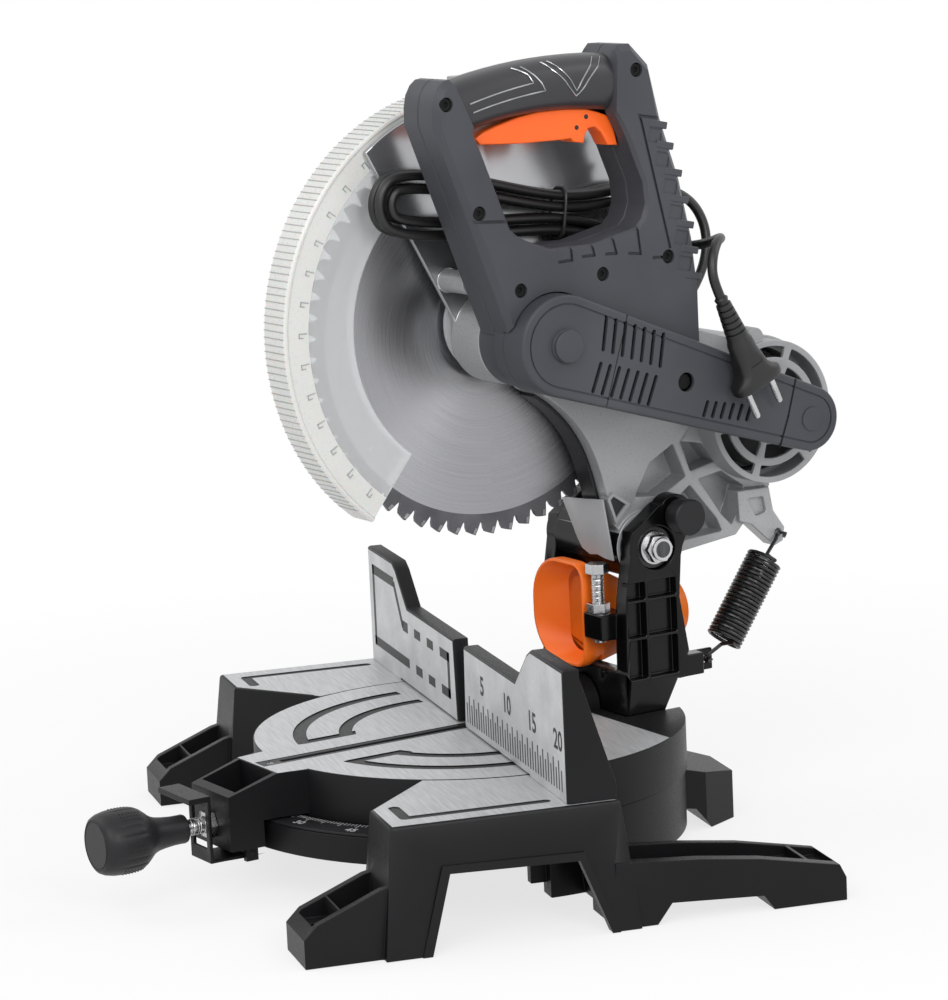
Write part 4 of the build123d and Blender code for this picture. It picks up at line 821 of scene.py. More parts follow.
def dressCover(s):
    bm = wholeFaces("belt_cover")

    def onFace(face):
        x = (headBack @ face.calc_center_median()).x / mm
        return (headBack @ face.normal).x > drawSettings["facing"] and abs(x - s["face"]) < s["nearFace"]

    rim = rimEdges(bm, onFace, s["deep"])
    dressed("belt_cover", "shellBlack", None, "black_plastic", bm=softened(bm, rim, s["rim"], 4))
    cap, lines = bmesh.new(), bmesh.new()
    bevelled(cap, sharpEdges(barX(cap, *s["cap"], s["capSides"])), s["capEdge"], 3)
    addPiece("coverCap", put(cap), "head", "shellBlack", s["capSharp"])
    for a, b, width in s["lines"]:
        stripX(lines, a, b, width, s["face"] - s["sunk"], s["face"] + s["proud"])
    addPiece("coverLines", put(lines), "head", "deepBlack")


dressCover(coverSettings)
dressAll(mouldings)
print("castings dressed")

# fasteners, shafts and small mouldings, by finish
hardware = {
    "zinc": "scale_screws fence_bolts insert_screws arm_screw miter_pivot_bolt miter_pivot_nut bevel_pivot_bolt "
            "miter_lock_stud stud_nut depth_stop_bolt depth_stop_nut head_lock_pin arbor_bolt spindle_shaft "
            "blade_flanges ball_bearings",
    # handle and cover screws are near-black as painted shade in their holes
    "deepBlack": "handle_screws cover_screw", "springSteel": "pivot_washers",
    "darkSteel": "armature motor_stator drive_pulley driven_pulley", "rubber": "drive_belt",
    "mouldedBlack": "power_switch cooling_fan miter_scale kerf_insert"}
hardwareEdge = 0.0004
for finish, held in hardware.items():
    for node in held.split():
        dressed(node, finish, hardwareEdge)
print("hardware dressed")

# lower guard: milky rim with moulded lines, clear side plates
guardSettings = {
    "middle": (23.7, 330.5), "outer": 146.0, "rimInner": 143.5, "inner": 96.4, "clearTo": 128.5, "left": -17.0,
    "right": 8.6, "wall": 2.5, "plate": 5.0, "cut": 1.2, "lip": 0.8, "step": 1.0, "slack": 0.1, "start": 86.0,
    "end": 231.5, "steps": 97, "hubHole": 24.5, "hub": 32.0, "webEnd": 126.0, "webSteps": 20, "hubSteps": 48,
    "lines": 78, "lineWide": 0.55, "lineRun": (8, -5), "line": (0.6, -0.9, -0.3, 0.25), "hooks": 15,
    "hookRun": (112.0, 226.0), "hookOut": (-0.2, 0.35),
    "hook": [(-0.3, 0.3, 129.5, 135), (-2.6, 0.3, 134.6, 135.2), (-2.9, -2.3, 132, 135.2)]}


def sweepGuard(bm, section, start, end, steps):
    middle = guardSettings["middle"]
    points = [aroundX(middle, x, radius, start) for x, radius in section]
    swept(bm, points, (0, *middle), (1, 0, 0), end - start, steps)


# turns marks drawn at the top of the guard to their first angle, and repeats them to the last
def spreadMarks(name, bm, start, end, count):
    middle = guardSettings["middle"]
    bmesh.ops.rotate(bm, cent=(0, *middle), matrix=Matrix.Rotation(radians(start - 90), 3, "X"), verts=bm.verts)
    repeatX(bm, middle, end - start, count)
    addPiece(name, put(bm), "guard", "milkyLine")


def makeGuard(s):
    bm = bmesh.new()
    y, z = s["middle"]
    left, right, plate, cut, lip = s["left"], s["right"], s["plate"], s["cut"], s["lip"]
    inner, outer, rimInner, clearTo = s["inner"], s["outer"], s["rimInner"], s["clearTo"]
    face, back = plate + s["wall"], left + s["wall"]
    section = [(left, inner), (left, clearTo), (left, outer - cut), (left + cut, outer), (right - cut, outer),
               (right, outer - cut), (right, rimInner), (face, rimInner - s["step"]), (face, clearTo),
               (face, inner + lip), (face - lip, inner), (plate, inner), (plate, clearTo), (plate, rimInner),
               (back, rimInner), (back, clearTo), (back, inner)]
    sweepGuard(bm, section, s["start"], s["end"], s["steps"])
    for low, high, start, end, steps in ((s["hub"] - s["step"], inner, s["start"], s["webEnd"], s["webSteps"]),
                                         (s["hubHole"], s["hub"], 0, 360, s["hubSteps"])):
        sweepGuard(bm, [(plate, low), (face, low), (face, high), (plate, high)], start, end, steps)
    outward(bm)

    def clearPlate(side):
        farthest = max(sqrt((v.co.y - y) ** 2 + (v.co.z - z) ** 2) for v in side.verts)
        return 1 if farthest < clearTo + s["slack"] else 0

    paintFaces(bm.faces, clearPlate)
    piece = addPiece("lowerGuard", put(bm), "guard", "milky clear")
    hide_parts("lower_guard")

    lines, half = bmesh.new(), s["lineWide"] / 2
    fromLeft, fromRight, sunk, proud = s["line"]
    block(lines, left + fromLeft, right + fromRight, y - half, y + half, z + outer + sunk, z + outer + proud)
    spreadMarks("guardLines", lines, s["start"] + s["lineRun"][0], s["end"] + s["lineRun"][1], s["lines"])
    hooks = bmesh.new()
    for y0, y1, z0, z1 in s["hook"]:
        block(hooks, face + s["hookOut"][0], face + s["hookOut"][1], y + y0, y + y1, z + z0, z + z1)
    spreadMarks("guardHooks", hooks, *s["hookRun"], s["hooks"])


makeGuard(guardSettings)
print("guard made")

# saw blade: brushed plate, toothed rim with rounded gullets painted darker as painted shade and dark reflection,
# carbide tips, four slots
bladeSettings = {
    "middle": (23.7, 323.2), "radius": 127.5, "band": 114.0, "bore": 15.0, "half": 1.3, "teeth": 60, "around": 240,
    "tooth": [(0.0, 0.0), (-1.3, -0.9), (-2.7, -2.0), (-3.3, -4.4), (-3.45, -6.6), (-3.7, -7.9), (-4.1, -8.5),
        (-4.5, -8.1), (-4.75, -6.8), (-5.3, -3.6)], "slots": 4, "slotStart": 33.0, "slotWide": 1.0,
    "slotOuter": -6.0, "slotInner": -22.0, "slotLean": 3.5, "slotEnd": 1.7, "slotSides": 16, "through": 3.0,
    "endThrough": 3.2, "tip": (-1.6, 1.6, 0.1, 2.1, -4.6, -0.1), "tipLean": -0.26, "tipTop": -1.0, "tipDrop": 0.9}


def makeBlade(s):
    bm, tool, tips = bmesh.new(), bmesh.new(), bmesh.new()
    middle, half, tipTop = s["middle"], s["half"], s["middle"][1] + s["radius"]
    pitch = 360 / s["teeth"]
    rim = [bm.verts.new(aroundX(middle, -half, s["radius"] + drop, i * pitch + turn))
           for i in range(s["teeth"]) for turn, drop in reversed(s["tooth"])]
    outline = [bm.edges.new((rim[k - 1], rim[k])) for k in range(len(rim))]
    rings = [ringX(bm, s[key], -half, *middle, s["around"]) for key in ("band", "bore")]
    band, bore = [list({edge for vert in ring for edge in vert.link_edges}) for ring in rings]
    bmesh.ops.triangle_fill(bm, use_beauty=True, edges=outline + band)
    bmesh.ops.bridge_loops(bm, edges=band + bore)
    pushed(bm, bm.faces[:], (2 * half, 0, 0))
    for i in range(s["slots"]):
        angle = s["slotStart"] + i * 360 / s["slots"]
        outer = aroundX(middle, 0, s["radius"] + s["slotOuter"], angle).yz
        inner = aroundX(middle, 0, s["radius"] + s["slotInner"], angle + s["slotLean"]).yz
        stripX(tool, outer, inner, s["slotWide"], -s["through"], s["through"])
        barX(tool, s["slotEnd"], -s["endThrough"], s["endThrough"], *inner, s["slotSides"])
    bm = outward(carved(bm, tool))

    def inRim(face):
        return 1 if (face.calc_center_median().yz - Vector(middle)).length > s["band"] else 0

    # faces in the rim band take the darker finish, as painted shade
    paintFaces(bm.faces, inRim)
    piece = addPiece("sawBlade", put(bm), "spindle", "brushedBlade bladeRim")
    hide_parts("saw_blade")

    x0, x1, y0, y1, z0, z1 = s["tip"]
    for vert in block(tips, x0, x1, middle[0] + y0, middle[0] + y1, tipTop + z0, tipTop + z1):
        vert.co.y += s["tipLean"] * (tipTop - vert.co.z)
        if vert.co.y > middle[0] and vert.co.z > tipTop + s["tipTop"]:
            vert.co.z -= s["tipDrop"]
    repeatX(tips, middle, 360 - pitch, s["teeth"])
    addPiece("bladeTips", put(tips), "spindle", "carbide")


makeBlade(bladeSettings)
print("blade made")

# handle: two halves round a D-shaped opening, round grip between the two blocks
handleSettings = {
    "split": 61.5, "side": 20.5, "gripSide": 18.6, "gripSquare": 0.86, "chamfer": 4.2, "innerChamfer": 2.2,
    "gripSteps": 10, "gap": 0.2, "lip": 0.8, "lipCut": 0.6, "flats": (6, 12), "gripSink": (-0.6, 0.3), "ring": 13,
    "ringTurn": 15, "gripTop": [(-38.6, 484.0), (17, 494.2), (76, 495.3)],
    "gripLow": [(-25, 453.5), (30, 461), (74, 458.5)], "gripOuter": (-38.6, 76.0), "gripInner": (-25.0, 74.0),
    "gripFrom": -2.0,
    "front": [(-5.5, 330, 12, 385.5), (-13.4, 351.7, 4, 388.8), (-21.3, 373.3, -0.1, 391.7),
        (-31, 400, -3.8, 395.3), (-41, 427.2, -12, 416.8), (-49.5, 450.4, -21, 440.3), (-53, 460, -26, 453),
        (-52.8, 470, -26.4, 454.3), (-51.2, 477.5, -26.5, 454.8), (-48, 483, -26.4, 455.1),
        (-44, 486.2, -26.2, 455.3), (-40, 486.8, -25.9, 455.5)],
    "rear": [(77.2, 496.6, 74.6, 457.8), (80, 499.6, 74.9, 457.5), (88, 499.5, 76, 455.5), (101, 486, 79.5, 449),
        (108.5, 453, 83, 441), (116, 430, 88, 428), (121, 415, 93, 415.5), (126, 392, 94.3, 402),
        (129, 378, 91, 393), (132.5, 345, 86, 388), (132, 308, 78, 386.2), (100, 313, 70, 384.4),
        (70, 317.5, 55, 381), (40, 322, 40, 381), (15, 326, 24, 381)],
    "triggerRoom": (52.8, 70.2, -21, 85, 436, 471), "screwHole": 4.4, "screwDeep": 4.0,
    "screws": [(-45.1, 472.5), (-25.7, 406.7), (1.0, 358.0), (60.2, 362.2), (108.8, 368.2), (90.2, 483.6)],
    "grooves": [((37.1, 390), (38.2, 372.9), (29.4, 372.5)), ((50.5, 390), (54.5, 374.4), (46.4, 374.2)),
        ((66, 392), (70.5, 373.9), (63.3, 374.1)), ((85.8, 395), (88.2, 372), (80.2, 372.9)),
        ((-34, 402.2), (-6, 400.2)), ((112, 452), (91.3, 455.8), (92.7, 451.1), (110.2, 374)),
        ((98, 368.6), (106, 368.2))], "grooveWide": 1.9, "grooveDeep": 2.0, "recessDeep": 0.8,
    "recess": (-14.5, -4.8, 4.4), "ribLean": -0.22, "rib": (-11.0, 1.7, 2.2), "ribFrom": 2.0, "ribProud": 0.5,
    "ribEdge": 0.5, "ribs": [449.5, 436.5, 419.5, 402.6, 387.0, 371.0, 354.7],
    "rearEdge": [(108.5, 453), (121, 415), (129, 378), (132.5, 345)], "spindle": (23.7, 323.2),
    "motor": (205.5, 257.0), "caseLarge": 31.0, "caseSmall": 20.5, "caseFloor": 72.0, "caseGap": 0.9,
    "caseOver": 3.0, "drum": 29.3, "drumFrom": 41.0, "drumEdge": 1.2, "overlap": 0.1, "roundSides": 64,
    "screwSides": 24, "sharp": 28}


def curveHeight(points, y):
    (a, p), (b, q), (c, r) = points
    return (p * (y - b) * (y - c) / ((a - b) * (a - c)) + q * (y - a) * (y - c) / ((b - a) * (b - c))
            + r * (y - a) * (y - b) / ((c - a) * (c - b)))


# a station is a section of the handle: its outer and its inner (y, z) point
def gripStation(s, share):
    y, low = [start + share * (end - start) for start, end in (s["gripOuter"], s["gripInner"])]
    sinkTop, sinkLow = s["gripSink"]
    return (y, curveHeight(s["gripTop"], y) + sinkTop, low, curveHeight(s["gripLow"], low) + sinkLow)


def gripPoint(s, station, turn, proud=0.0):
    outer, inner = Vector(station[:2]), Vector(station[2:])
    middle, half = (outer + inner) / 2, (outer - inner) / 2
    reach = half * squarer(cos(radians(turn)), s["gripSquare"]) * (1 + proud / half.length)
    wide = (s["gripSide"] + proud) * max(sin(radians(turn)), 0.0) ** s["gripSquare"]
    return (s["gap"] + wide, *(middle + reach))


# from the split over the outer edge, down the flat side and back along the inner edge
def flatPoint(s, station, step):
    outer, inner = Vector(station[:2]), Vector(station[2:])
    length = (inner - outer).length
    side, cut, nick, (near, far) = s["side"], s["chamfer"], s["innerChamfer"], s["flats"]
    gap, lip, lipCut = s["gap"], s["lip"], s["lipCut"]
    wide, deep = [(gap, lipCut), (lip, 0), (near, 0), (far, 0), (side - cut, 0), (side, cut), (side, length / 2),
                  (side, length - nick), (side - nick, length), (far, length), (near, length), (lip, length),
                  (gap, length - lipCut)][step]
    return (wide, *(outer + (inner - outer).normalized() * deep))


def handleShell(s, way):
    grip = [gripStation(s, k / s["gripSteps"]) for k in range(s["gripSteps"] + 1)]
    stations = s["front"] + grip + s["rear"]

    def place(i, j):
        station, step = stations[i % len(stations)], j % s["ring"]
        wide, y, z = gripPoint(s, station, step * s["ringTurn"]) if station in grip else flatPoint(s, station, step)
        return (s["split"] + way * wide, y, z)

    bm = bmesh.new()
    sheet(bm, len(stations), s["ring"], place)
    return outward(bm)


# block round the belt, from the large pulley to the small one
def beltBlock(bm, s, grow, x0, x1):
    verts = []
    for key, radius in (("spindle", s["caseLarge"]), ("motor", s["caseSmall"])):
        for x in (x0, x1):
            verts += ringX(bm, radius + grow, x, *s[key], s["roundSides"])
    hull = bmesh.ops.convex_hull(bm, input=verts)
    spare = {item for key in ("geom_interior", "geom_unused") for item in hull[key] if item.is_valid}
    bmesh.ops.delete(bm, geom=[item for item in spare if isinstance(item, bmesh.types.BMVert)], context="VERTS")


def rearEdgeAt(s, z):
    points = s["rearEdge"]
    for (y0, z0), (y1, z1) in zip(points, points[1:]):
        if z0 >= z >= z1:
            return y0 + (y1 - y0) * (z0 - z) / (z0 - z1)
    return points[-1][0]


# leaning block at the rear edge, at a height
def rearBlock(bm, s, x0, x1, z, front, back, half):
    y, lean = rearEdgeAt(s, z), Matrix.Rotation(s["ribLean"], 4, "X")
    return block(bm, *sorted((x0, x1)), y + front, y + back, z - half, z + half, lean)


def handleTool(s, way):
    face = s["split"] + way * s["side"]
    tool = bmesh.new()
    block(tool, *s["triggerRoom"])
    for y, z in s["screws"]:
        barX(tool, s["screwHole"], *sorted((face - way * s["screwDeep"], face + way)), y, z, s["screwSides"])
    for run in s["grooves"]:
        for a, b in zip(run, run[1:]):
            stripX(tool, a, b, s["grooveWide"], *sorted((face - way * s["grooveDeep"], face + way)))
    for z0, z1 in zip(s["ribs"], s["ribs"][1:]):
        rearBlock(tool, s, face - way * s["recessDeep"], face + way, (z0 + z1) / 2, *s["recess"])
    if way > 0:
        beltBlock(tool, s, s["caseGap"], s["caseFloor"], face + s["caseOver"])
    return tool


# which faces belong to the grip: above its lower edge, between lines through its ends
def paintGrip(face):
    s = handleSettings
    y, z = face.calc_center_median().yz
    front, rear = [a + (b - a) * (s["gripTop"][k][1] - z) / (s["gripTop"][k][1] - s["gripLow"][k][1])
                   for a, b, k in zip(s["gripOuter"], s["gripInner"], (0, 2))]
    return 1 if z > s["gripLow"][0][1] + s["gripFrom"] and front < y < rear else 0


def makeHandle(s):
    for way, name, node in ((1, "handleRight", "handle_right"), (-1, "handleLeft", "handle_left")):
        bm = carved(handleShell(s, way), handleTool(s, way))
        face = s["split"] + way * s["side"]
        for z in s["ribs"]:
            rib = rearBlock(bm, s, s["split"] + way * s["ribFrom"], face + way * s["ribProud"], z, *s["rib"])
            bevelled(bm, sharpEdges(rib), s["ribEdge"], 1)
        if way > 0:
            beltBlock(bm, s, 0, s["split"] + s["overlap"], s["caseFloor"])
        else:
            drum = barX(bm, s["drum"], s["drumFrom"], s["split"] - s["overlap"], *s["spindle"], s["roundSides"])
            bevelled(bm, sharpEdges(drum), s["drumEdge"])
        bmesh.ops.recalc_face_normals(bm, faces=bm.faces)
        paintFaces(bm.faces, paintGrip)
        piece = addPiece(name, put(bm), "head", "shellBlack gripBlack", s["sharp"])
        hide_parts(node)


makeHandle(handleSettings)
print("handle made")

# raised lines on the grip, bright as painted highlights along its grooves, as runs of y and the turn round the grip
gripHighlightLines = {
    "radius": 0.5, "proud": 0.1, "steps": 10,
    "runs": [[(-28, 85), (17.2, 80), (14.5, 60), (6.4, 33)], [(-26, 100), (25.5, 95), (16.9, 57), (12.5, 35)],
        [(27.2, 33), (32.3, 60), (47.7, 112), (65, 60), (70, 33)], [(31.8, 33), (37.7, 60), (47.7, 101), (59.5, 58),
        (64.5, 33)]]}


# the share of the grip at which the turned section passes through y
def gripLinePoint(y, turn):
    s = handleSettings
    lean = (1 - squarer(cos(radians(turn)), s["gripSquare"])) / 2
    start, end = [a * (1 - lean) + b * lean for a, b in zip(s["gripOuter"], s["gripInner"])]
    wide, py, pz = gripPoint(s, gripStation(s, (y - start) / (end - start)), turn, gripHighlightLines["proud"])
    return (s["split"] + wide, py, pz)


def drawGripLines(s):
    bm = bmesh.new()
    shares = [k / s["steps"] for k in range(s["steps"])]
    for run in s["runs"]:
        points = [gripLinePoint(y0 + (y1 - y0) * share, t0 + (t1 - t0) * share)
                  for (y0, t0), (y1, t1) in zip(run, run[1:]) for share in shares]
        wire(bm, points + [gripLinePoint(*run[-1])], s["radius"], 1)
    addPiece("gripHighlightLines", put(bm), "head", "gripHighlight")


drawGripLines(gripHighlightLines)

# trigger with its hooked rear arm, and black discs painted where its holes are, as painted shade
triggerSettings = {
    "left": 54.0, "right": 69.0, "edge": 1.2, "hole": 1.5, "holeSides": 16, "sunk": 0.3, "proud": 0.05, "sharp": 40,
    "holeShadeSpots": [(61.0, 457.0), (53.9, 451.0)],
    "outline": [(-18.5, 450), (-12, 453.6), (-4, 456.2), (12, 460.4), (27, 462.8), (45, 463.2), (61.5, 461.8),
        (71, 458.8), (77.5, 456.5), (81.3, 447.5), (83.4, 438), (76, 438.7), (73.5, 443.6), (71.5, 447),
        (67, 450.4), (62.6, 449.6), (60, 446), (59, 441.2), (51.5, 442.4), (49.7, 444.7), (44, 444.3), (14, 444.4),
        (-15, 446)]}


def makeTrigger(s):
    bm = bmesh.new()
    slabX(bm, s["outline"], s["left"], s["right"])
    outward(bm)
    sides = [edge for edge in bm.edges if abs(edge.verts[0].co.x - edge.verts[1].co.x) < drawSettings["same"]]
    bevelled(bm, sides, s["edge"], 3)
    # holes are not cut: a black disc on the face stands for each, as painted shade
    for y, z in s["holeShadeSpots"]:
        hole = barX(bm, s["hole"], s["right"] - s["sunk"], s["right"] + s["proud"], y, z, s["holeSides"])
        paintFaces({face for vert in hole for face in vert.link_faces}, lambda face: 1)
    piece = addPiece("triggerLever", put(bm), "trigger", "trigger rubber", s["sharp"])
    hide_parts("trigger")


makeTrigger(triggerSettings)
print("trigger made")

# turntable: the two ring grooves, each from one radius to another, are carried on to the fence
tableSettings = {
    "sectors": [(103.0, 111.5, -22.0, 6.0), (74.0, 82.5, -30.0, 8.0)], "steps": 14, "floor": 75.2, "over": 78.0,
    "edge": 0.0007, "silverTo": 75.0}


def ringSector(bm, s, inner, outer, start, end):
    a = radians(start)
    corners = ((inner, s["floor"]), (outer, s["floor"]), (outer, s["over"]), (inner, s["over"]))
    points = [(r * cos(a), r * sin(a), z) for r, z in corners]
    swept(bm, points, (0, 0, 0), (0, 0, 1), end - start, s["steps"])


def makeTable(s):
    tool = bmesh.new()
    for inner, outer, start, end in s["sectors"]:
        ringSector(tool, s, inner, outer, start, end)
        ringSector(tool, s, inner, outer, 180 - end, 180 - start)
    bm = wholeFaces("turntable")
    bm = carved(softened(bm, rimEdges(bm, isSilver), s["edge"]), put(tool))
    planeCut(bm, (0, s["silverTo"], 0), (0, 1, 0), False)
    bmesh.ops.remove_doubles(bm, verts=bm.verts, dist=drawSettings["nodeWeld"])

    def silverInside(face):
        return silverOnTop(face) if (headBack @ face.calc_center_median()).y / mm < s["silverTo"] else 0

    dressed("turntable", "satinBlack groundFace groove", None, "table_face", silverInside, splitFaces(bm))


makeTable(tableSettings)
print("turntable made")

# raised border along the arch on the outside of each wing
borderSettings = {
    "inner": [(-92.7, 0.0), (-79.0, 46.0), (-1.0, 44.0), (15.6, 0.0)],
    "outer": [(-98.6, 0.0), (-83.2, 51.0), (1.9, 48.9), (20.6, 0.0)], "top": 76.0, "half": 217.0, "draft": 6.0,
    "proud": 0.9, "sunk": -0.6}


def makeBorders(s):
    bm = bmesh.new()
    slope = tan(radians(s["draft"]))
    inner, outer, sunk, proud = s["inner"], s["outer"], s["sunk"], s["proud"]
    corners = [(inner, sunk), (inner, proud), (outer, proud), (outer, sunk), (inner, sunk)]
    for side in (-1, 1):

        def place(i, j):
            line, out = corners[j]
            y, z = line[i]
            return (side * (s["half"] + (s["top"] - z) * slope + out), y, z)

        sheet(bm, len(inner) - 1, len(corners) - 1, place)
    outward(bm)
    bmesh.ops.holes_fill(bm, edges=[edge for edge in bm.edges if edge.is_boundary], sides=0)
    addPiece("archBorders", put(outward(bm), onBase), "base", "satinBlack")


makeBorders(borderSettings)

# printed marks: thin ink bars and plain numbers
inkSettings = {"proud": 0.12, "sunk": 0.3, "bold": 0.018, "thick": 0.01, "thickScale": 10.0}


def drawNumber(bm, word, height, place):
    font = bpy.data.curves.new("number", "FONT")
    font.body = word
    font.align_x = "CENTER"
    font.offset = inkSettings["bold"]
    font.resolution_u = 3
    font.extrude = inkSettings["thick"]

    def fit(mesh):
        low, high = [pick(v.co.y for v in mesh.vertices) for pick in (min, max)]
        scale = height / (high - low)
        size = Matrix.Diagonal((scale, scale, inkSettings["thickScale"], 1))
        return place @ size @ Matrix.Translation((0, -low, 0))

    drawCurve(bm, font, fit)


# ticks as rows of first, last, step, foot and top; the pattern as bars and one slanted bar
fenceMarks = {
    "face": -5.0, "wide": 1.6, "ticks": [(20, 200, 10, 81.8, 99.3), (15, 205, 10, 81.5, 94.2)],
    "numbers": [("5", 49.4), ("10", 101.0), ("15", 151.0), ("20", 200.4)], "base": 105.4, "height": 12.3,
    "bars": [(-203, -149.5, 137.8, 144.3), (-203.5, -199, 88.5, 144.3), (-204, -118, 88.5, 94.8),
        (-131, -118.7, 112, 119), (-103, -88.8, 112.5, 118.5), (-73, -58.7, 112.5, 118.5), (-102, -87, 88.3, 94.4),
        (-72, -57, 88.3, 94.4), (-43, -22, 112.4, 118.5), (-26.5, -21.5, 88.3, 118.5), (-41.7, -21.5, 88.3, 94.4)],
    "slant": ((-149.5, 141.0), (-130.5, 114.5), 4.5)}


def fenceBar(bm, x0, x1, z0, z1, turn=Matrix()):
    face = fenceMarks["face"]
    block(bm, x0, x1, face - inkSettings["proud"], face + inkSettings["sunk"], z0, z1, turn)


def markFences(s):
    bm, pattern = bmesh.new(), bmesh.new()
    for first, last, step, low, high in s["ticks"]:
        for x in range(first, last + 1, step):
            fenceBar(bm, x - s["wide"] / 2, x + s["wide"] / 2, low, high)
    for word, x in s["numbers"]:
        stand = Matrix.Translation((x, s["face"], s["base"])) @ Matrix.Rotation(pi / 2, 4, "X")
        drawNumber(bm, word, s["height"], stand)
    addPiece("fenceScale", put(bm, onBase), "base", "ink")
    for bar in s["bars"]:
        fenceBar(pattern, *bar)
    (ax, az), (bx, bz), wide = s["slant"]
    length, mx, mz = sqrt((bx - ax) ** 2 + (bz - az) ** 2), (ax + bx) / 2, (az + bz) / 2
    lean = Matrix.Rotation(-atan2(bz - az, bx - ax), 4, "Y")
    fenceBar(pattern, mx - length / 2, mx + length / 2, mz - wide / 2, mz + wide / 2, lean)
    addPiece("fencePattern", put(pattern, onBase), "left_fence", "ink")


markFences(fenceMarks)

# degree marks on the miter scale
scaleMarks = {
    "top": 47.0, "inner": 139.8, "short": 143.5, "long": 146.2, "wide": 0.5, "reach": 50, "longEvery": 5,
    "numbers": (-45, -30, -15, 0, 15, 30, 45), "numberAt": 154.2, "height": 5.8}


def markScale(s):
    bm = bmesh.new()
    low, high = s["top"] - inkSettings["sunk"], s["top"] + inkSettings["proud"]
    for degree in range(-s["reach"], s["reach"] + 1):
        outer = s["long"] if degree % s["longEvery"] == 0 else s["short"]
        tick = block(bm, -s["wide"] / 2, s["wide"] / 2, -outer, -s["inner"], low, high)
        bmesh.ops.rotate(bm, cent=(0, 0, 0), matrix=Matrix.Rotation(radians(degree), 3, "Z"), verts=tick)
    for degree in s["numbers"]:
        lie = Matrix.Rotation(radians(degree), 4, "Z") @ Matrix.Translation((0, -s["numberAt"], s["top"]))
        drawNumber(bm, str(abs(degree)), s["height"], lie)
    addPiece("scaleMarks", put(bm, onBase), "base", "paleInk")


markScale(scaleMarks)
print("marks printed")

# miter lock knob: fluted head with rows of dots, on a waisted neck
knobSettings = {
    "height": 45.5, "steps": 120, "groups": 6, "grooveAt": 22.0, "grooveHalf": 2.6, "grooveDeep": 0.9,
    "grooved": (-253.0, -237.0), "rows": (-8.0, 0.0, 8.0), "dots": (-250.5, -238.0, 7), "dot": 0.55, "sharp": 38,
    "profile": [(-263.5, 0), (-263.5, 13.8), (-262.8, 14.3), (-262.8, 15.1), (-263.4, 15.7), (-262.4, 17.2),
        (-259.5, 18.6), (-255, 19.6), (-252, 19.85), (-249, 20), (-246, 20), (-243, 19.9), (-240, 19.6),
        (-237.5, 19.1), (-234.5, 17.6), (-231.5, 15.2), (-229, 13), (-226.5, 11.4), (-223.5, 10.3), (-219, 9.5),
        (-213, 8.9), (-208, 8.8), (-205.5, 8.9), (-204.5, 8.5), (-204, 7.4), (-204, 0)]}


def knobRadius(s, y):
    for (y0, r0), (y1, r1) in zip(s["profile"], s["profile"][1:]):
        if y0 < y1 and y0 <= y <= y1:
            return r0 + (r1 - r0) * (y - y0) / (y1 - y0)


def makeKnob(s):
    bm = lathe(bmesh.new(), s["profile"], (0, 1, 0), (0, 0, s["height"]), s["steps"])
    low, high = s["grooved"]
    pitch = 360 / s["groups"]
    for vert in bm.verts:
        if low < vert.co.y < high:
            x, z = vert.co.x, vert.co.z - s["height"]
            a = (atan2(x, z) * 180 / pi) % pitch - pitch / 2
            share = max(0.0, 1 - abs(abs(a) - s["grooveAt"]) / s["grooveHalf"])
            slim = 1 - share * s["grooveDeep"] / sqrt(x ** 2 + z ** 2)
            vert.co.x, vert.co.z = x * slim, s["height"] + z * slim
    first, last, count = s["dots"]
    for a in [radians((group + 0.5) * pitch + row) for group in range(s["groups"]) for row in s["rows"]]:
        for k in range(count):
            y = first + (last - first) * k / (count - 1)
            r = knobRadius(s, y)
            at = Matrix.Translation((r * sin(a), y, s["height"] + r * cos(a)))
            bmesh.ops.create_icosphere(bm, subdivisions=1, radius=s["dot"], matrix=at)
    piece = addPiece("lockKnob", put(bm), "lock_knob", "mouldedBlack", s["sharp"])
    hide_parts("miter_lock_knob")


makeKnob(knobSettings)

# return spring: close coils between the lugs of the bracket and the head; points of an eye lie along the way to
# it, in millimetres, and across, in eye halves
springSettings = {
    "x": 43.0, "low": (167.7, 111.8), "high": (202.6, 160.7), "coil": 10.9, "wire": 1.27, "coils": 23,
    "perCoil": 14, "lowEye": (154, 101), "highEye": (217, 175), "eyeHalf": 3.6, "leave": (0.5, 1.2),
    "straighten": 3.0, "eye": [(-5.0, -0.6), (-2.2, -1.0), (0.4, -0.8), (0.4, 0.8), (-2.2, 1.0)]}


def springPoints(s):
    low, high, lowEye, highEye = [Vector((s["x"], *s[key])) for key in ("low", "high", "lowEye", "highEye")]
    axis = (high - low).normalized()
    side = Vector((1, 0, 0))
    up = axis.cross(side)
    points = []
    count = s["coils"] * s["perCoil"]
    for k in range(count + 1):
        a = 2 * pi * k / s["perCoil"]
        points.append(low + (high - low) * k / count + (side * cos(a) + up * sin(a)) * s["coil"])

    def hook(end, way, eye):
        toward, across = (eye - end).normalized(), side * s["eyeHalf"]
        start = [end + side * s["coil"] * s["leave"][0] + way * s["leave"][1], end + way * s["straighten"]]
        return start + [eye + toward * along + across * out for along, out in s["eye"]]

    return hook(low, -axis, lowEye)[::-1] + points + hook(high, axis, highEye)


def makeSpring(s):
    bm = bmesh.new()
    wire(bm, springPoints(s), s["wire"])
    piece = addPiece("returnSpring", put(bm), None, "springSteel")
    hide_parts("return_spring")
    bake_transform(piece)


makeSpring(springSettings)

# screw threads
threadSettings = {
    "wire": 0.42, "perTurn": 14,
    "stop": {"axis": "Z", "middle": (25.0, 84.5), "radius": 3.85, "from": 146.0, "to": 165.0, "pitch": 1.25,
        "body": "bracket"},
    "stud": {"axis": "Y", "middle": (0.0, 45.5), "radius": 4.85, "from": -203.9, "to": -191.2, "pitch": 1.5,
        "body": "lock_knob"}}


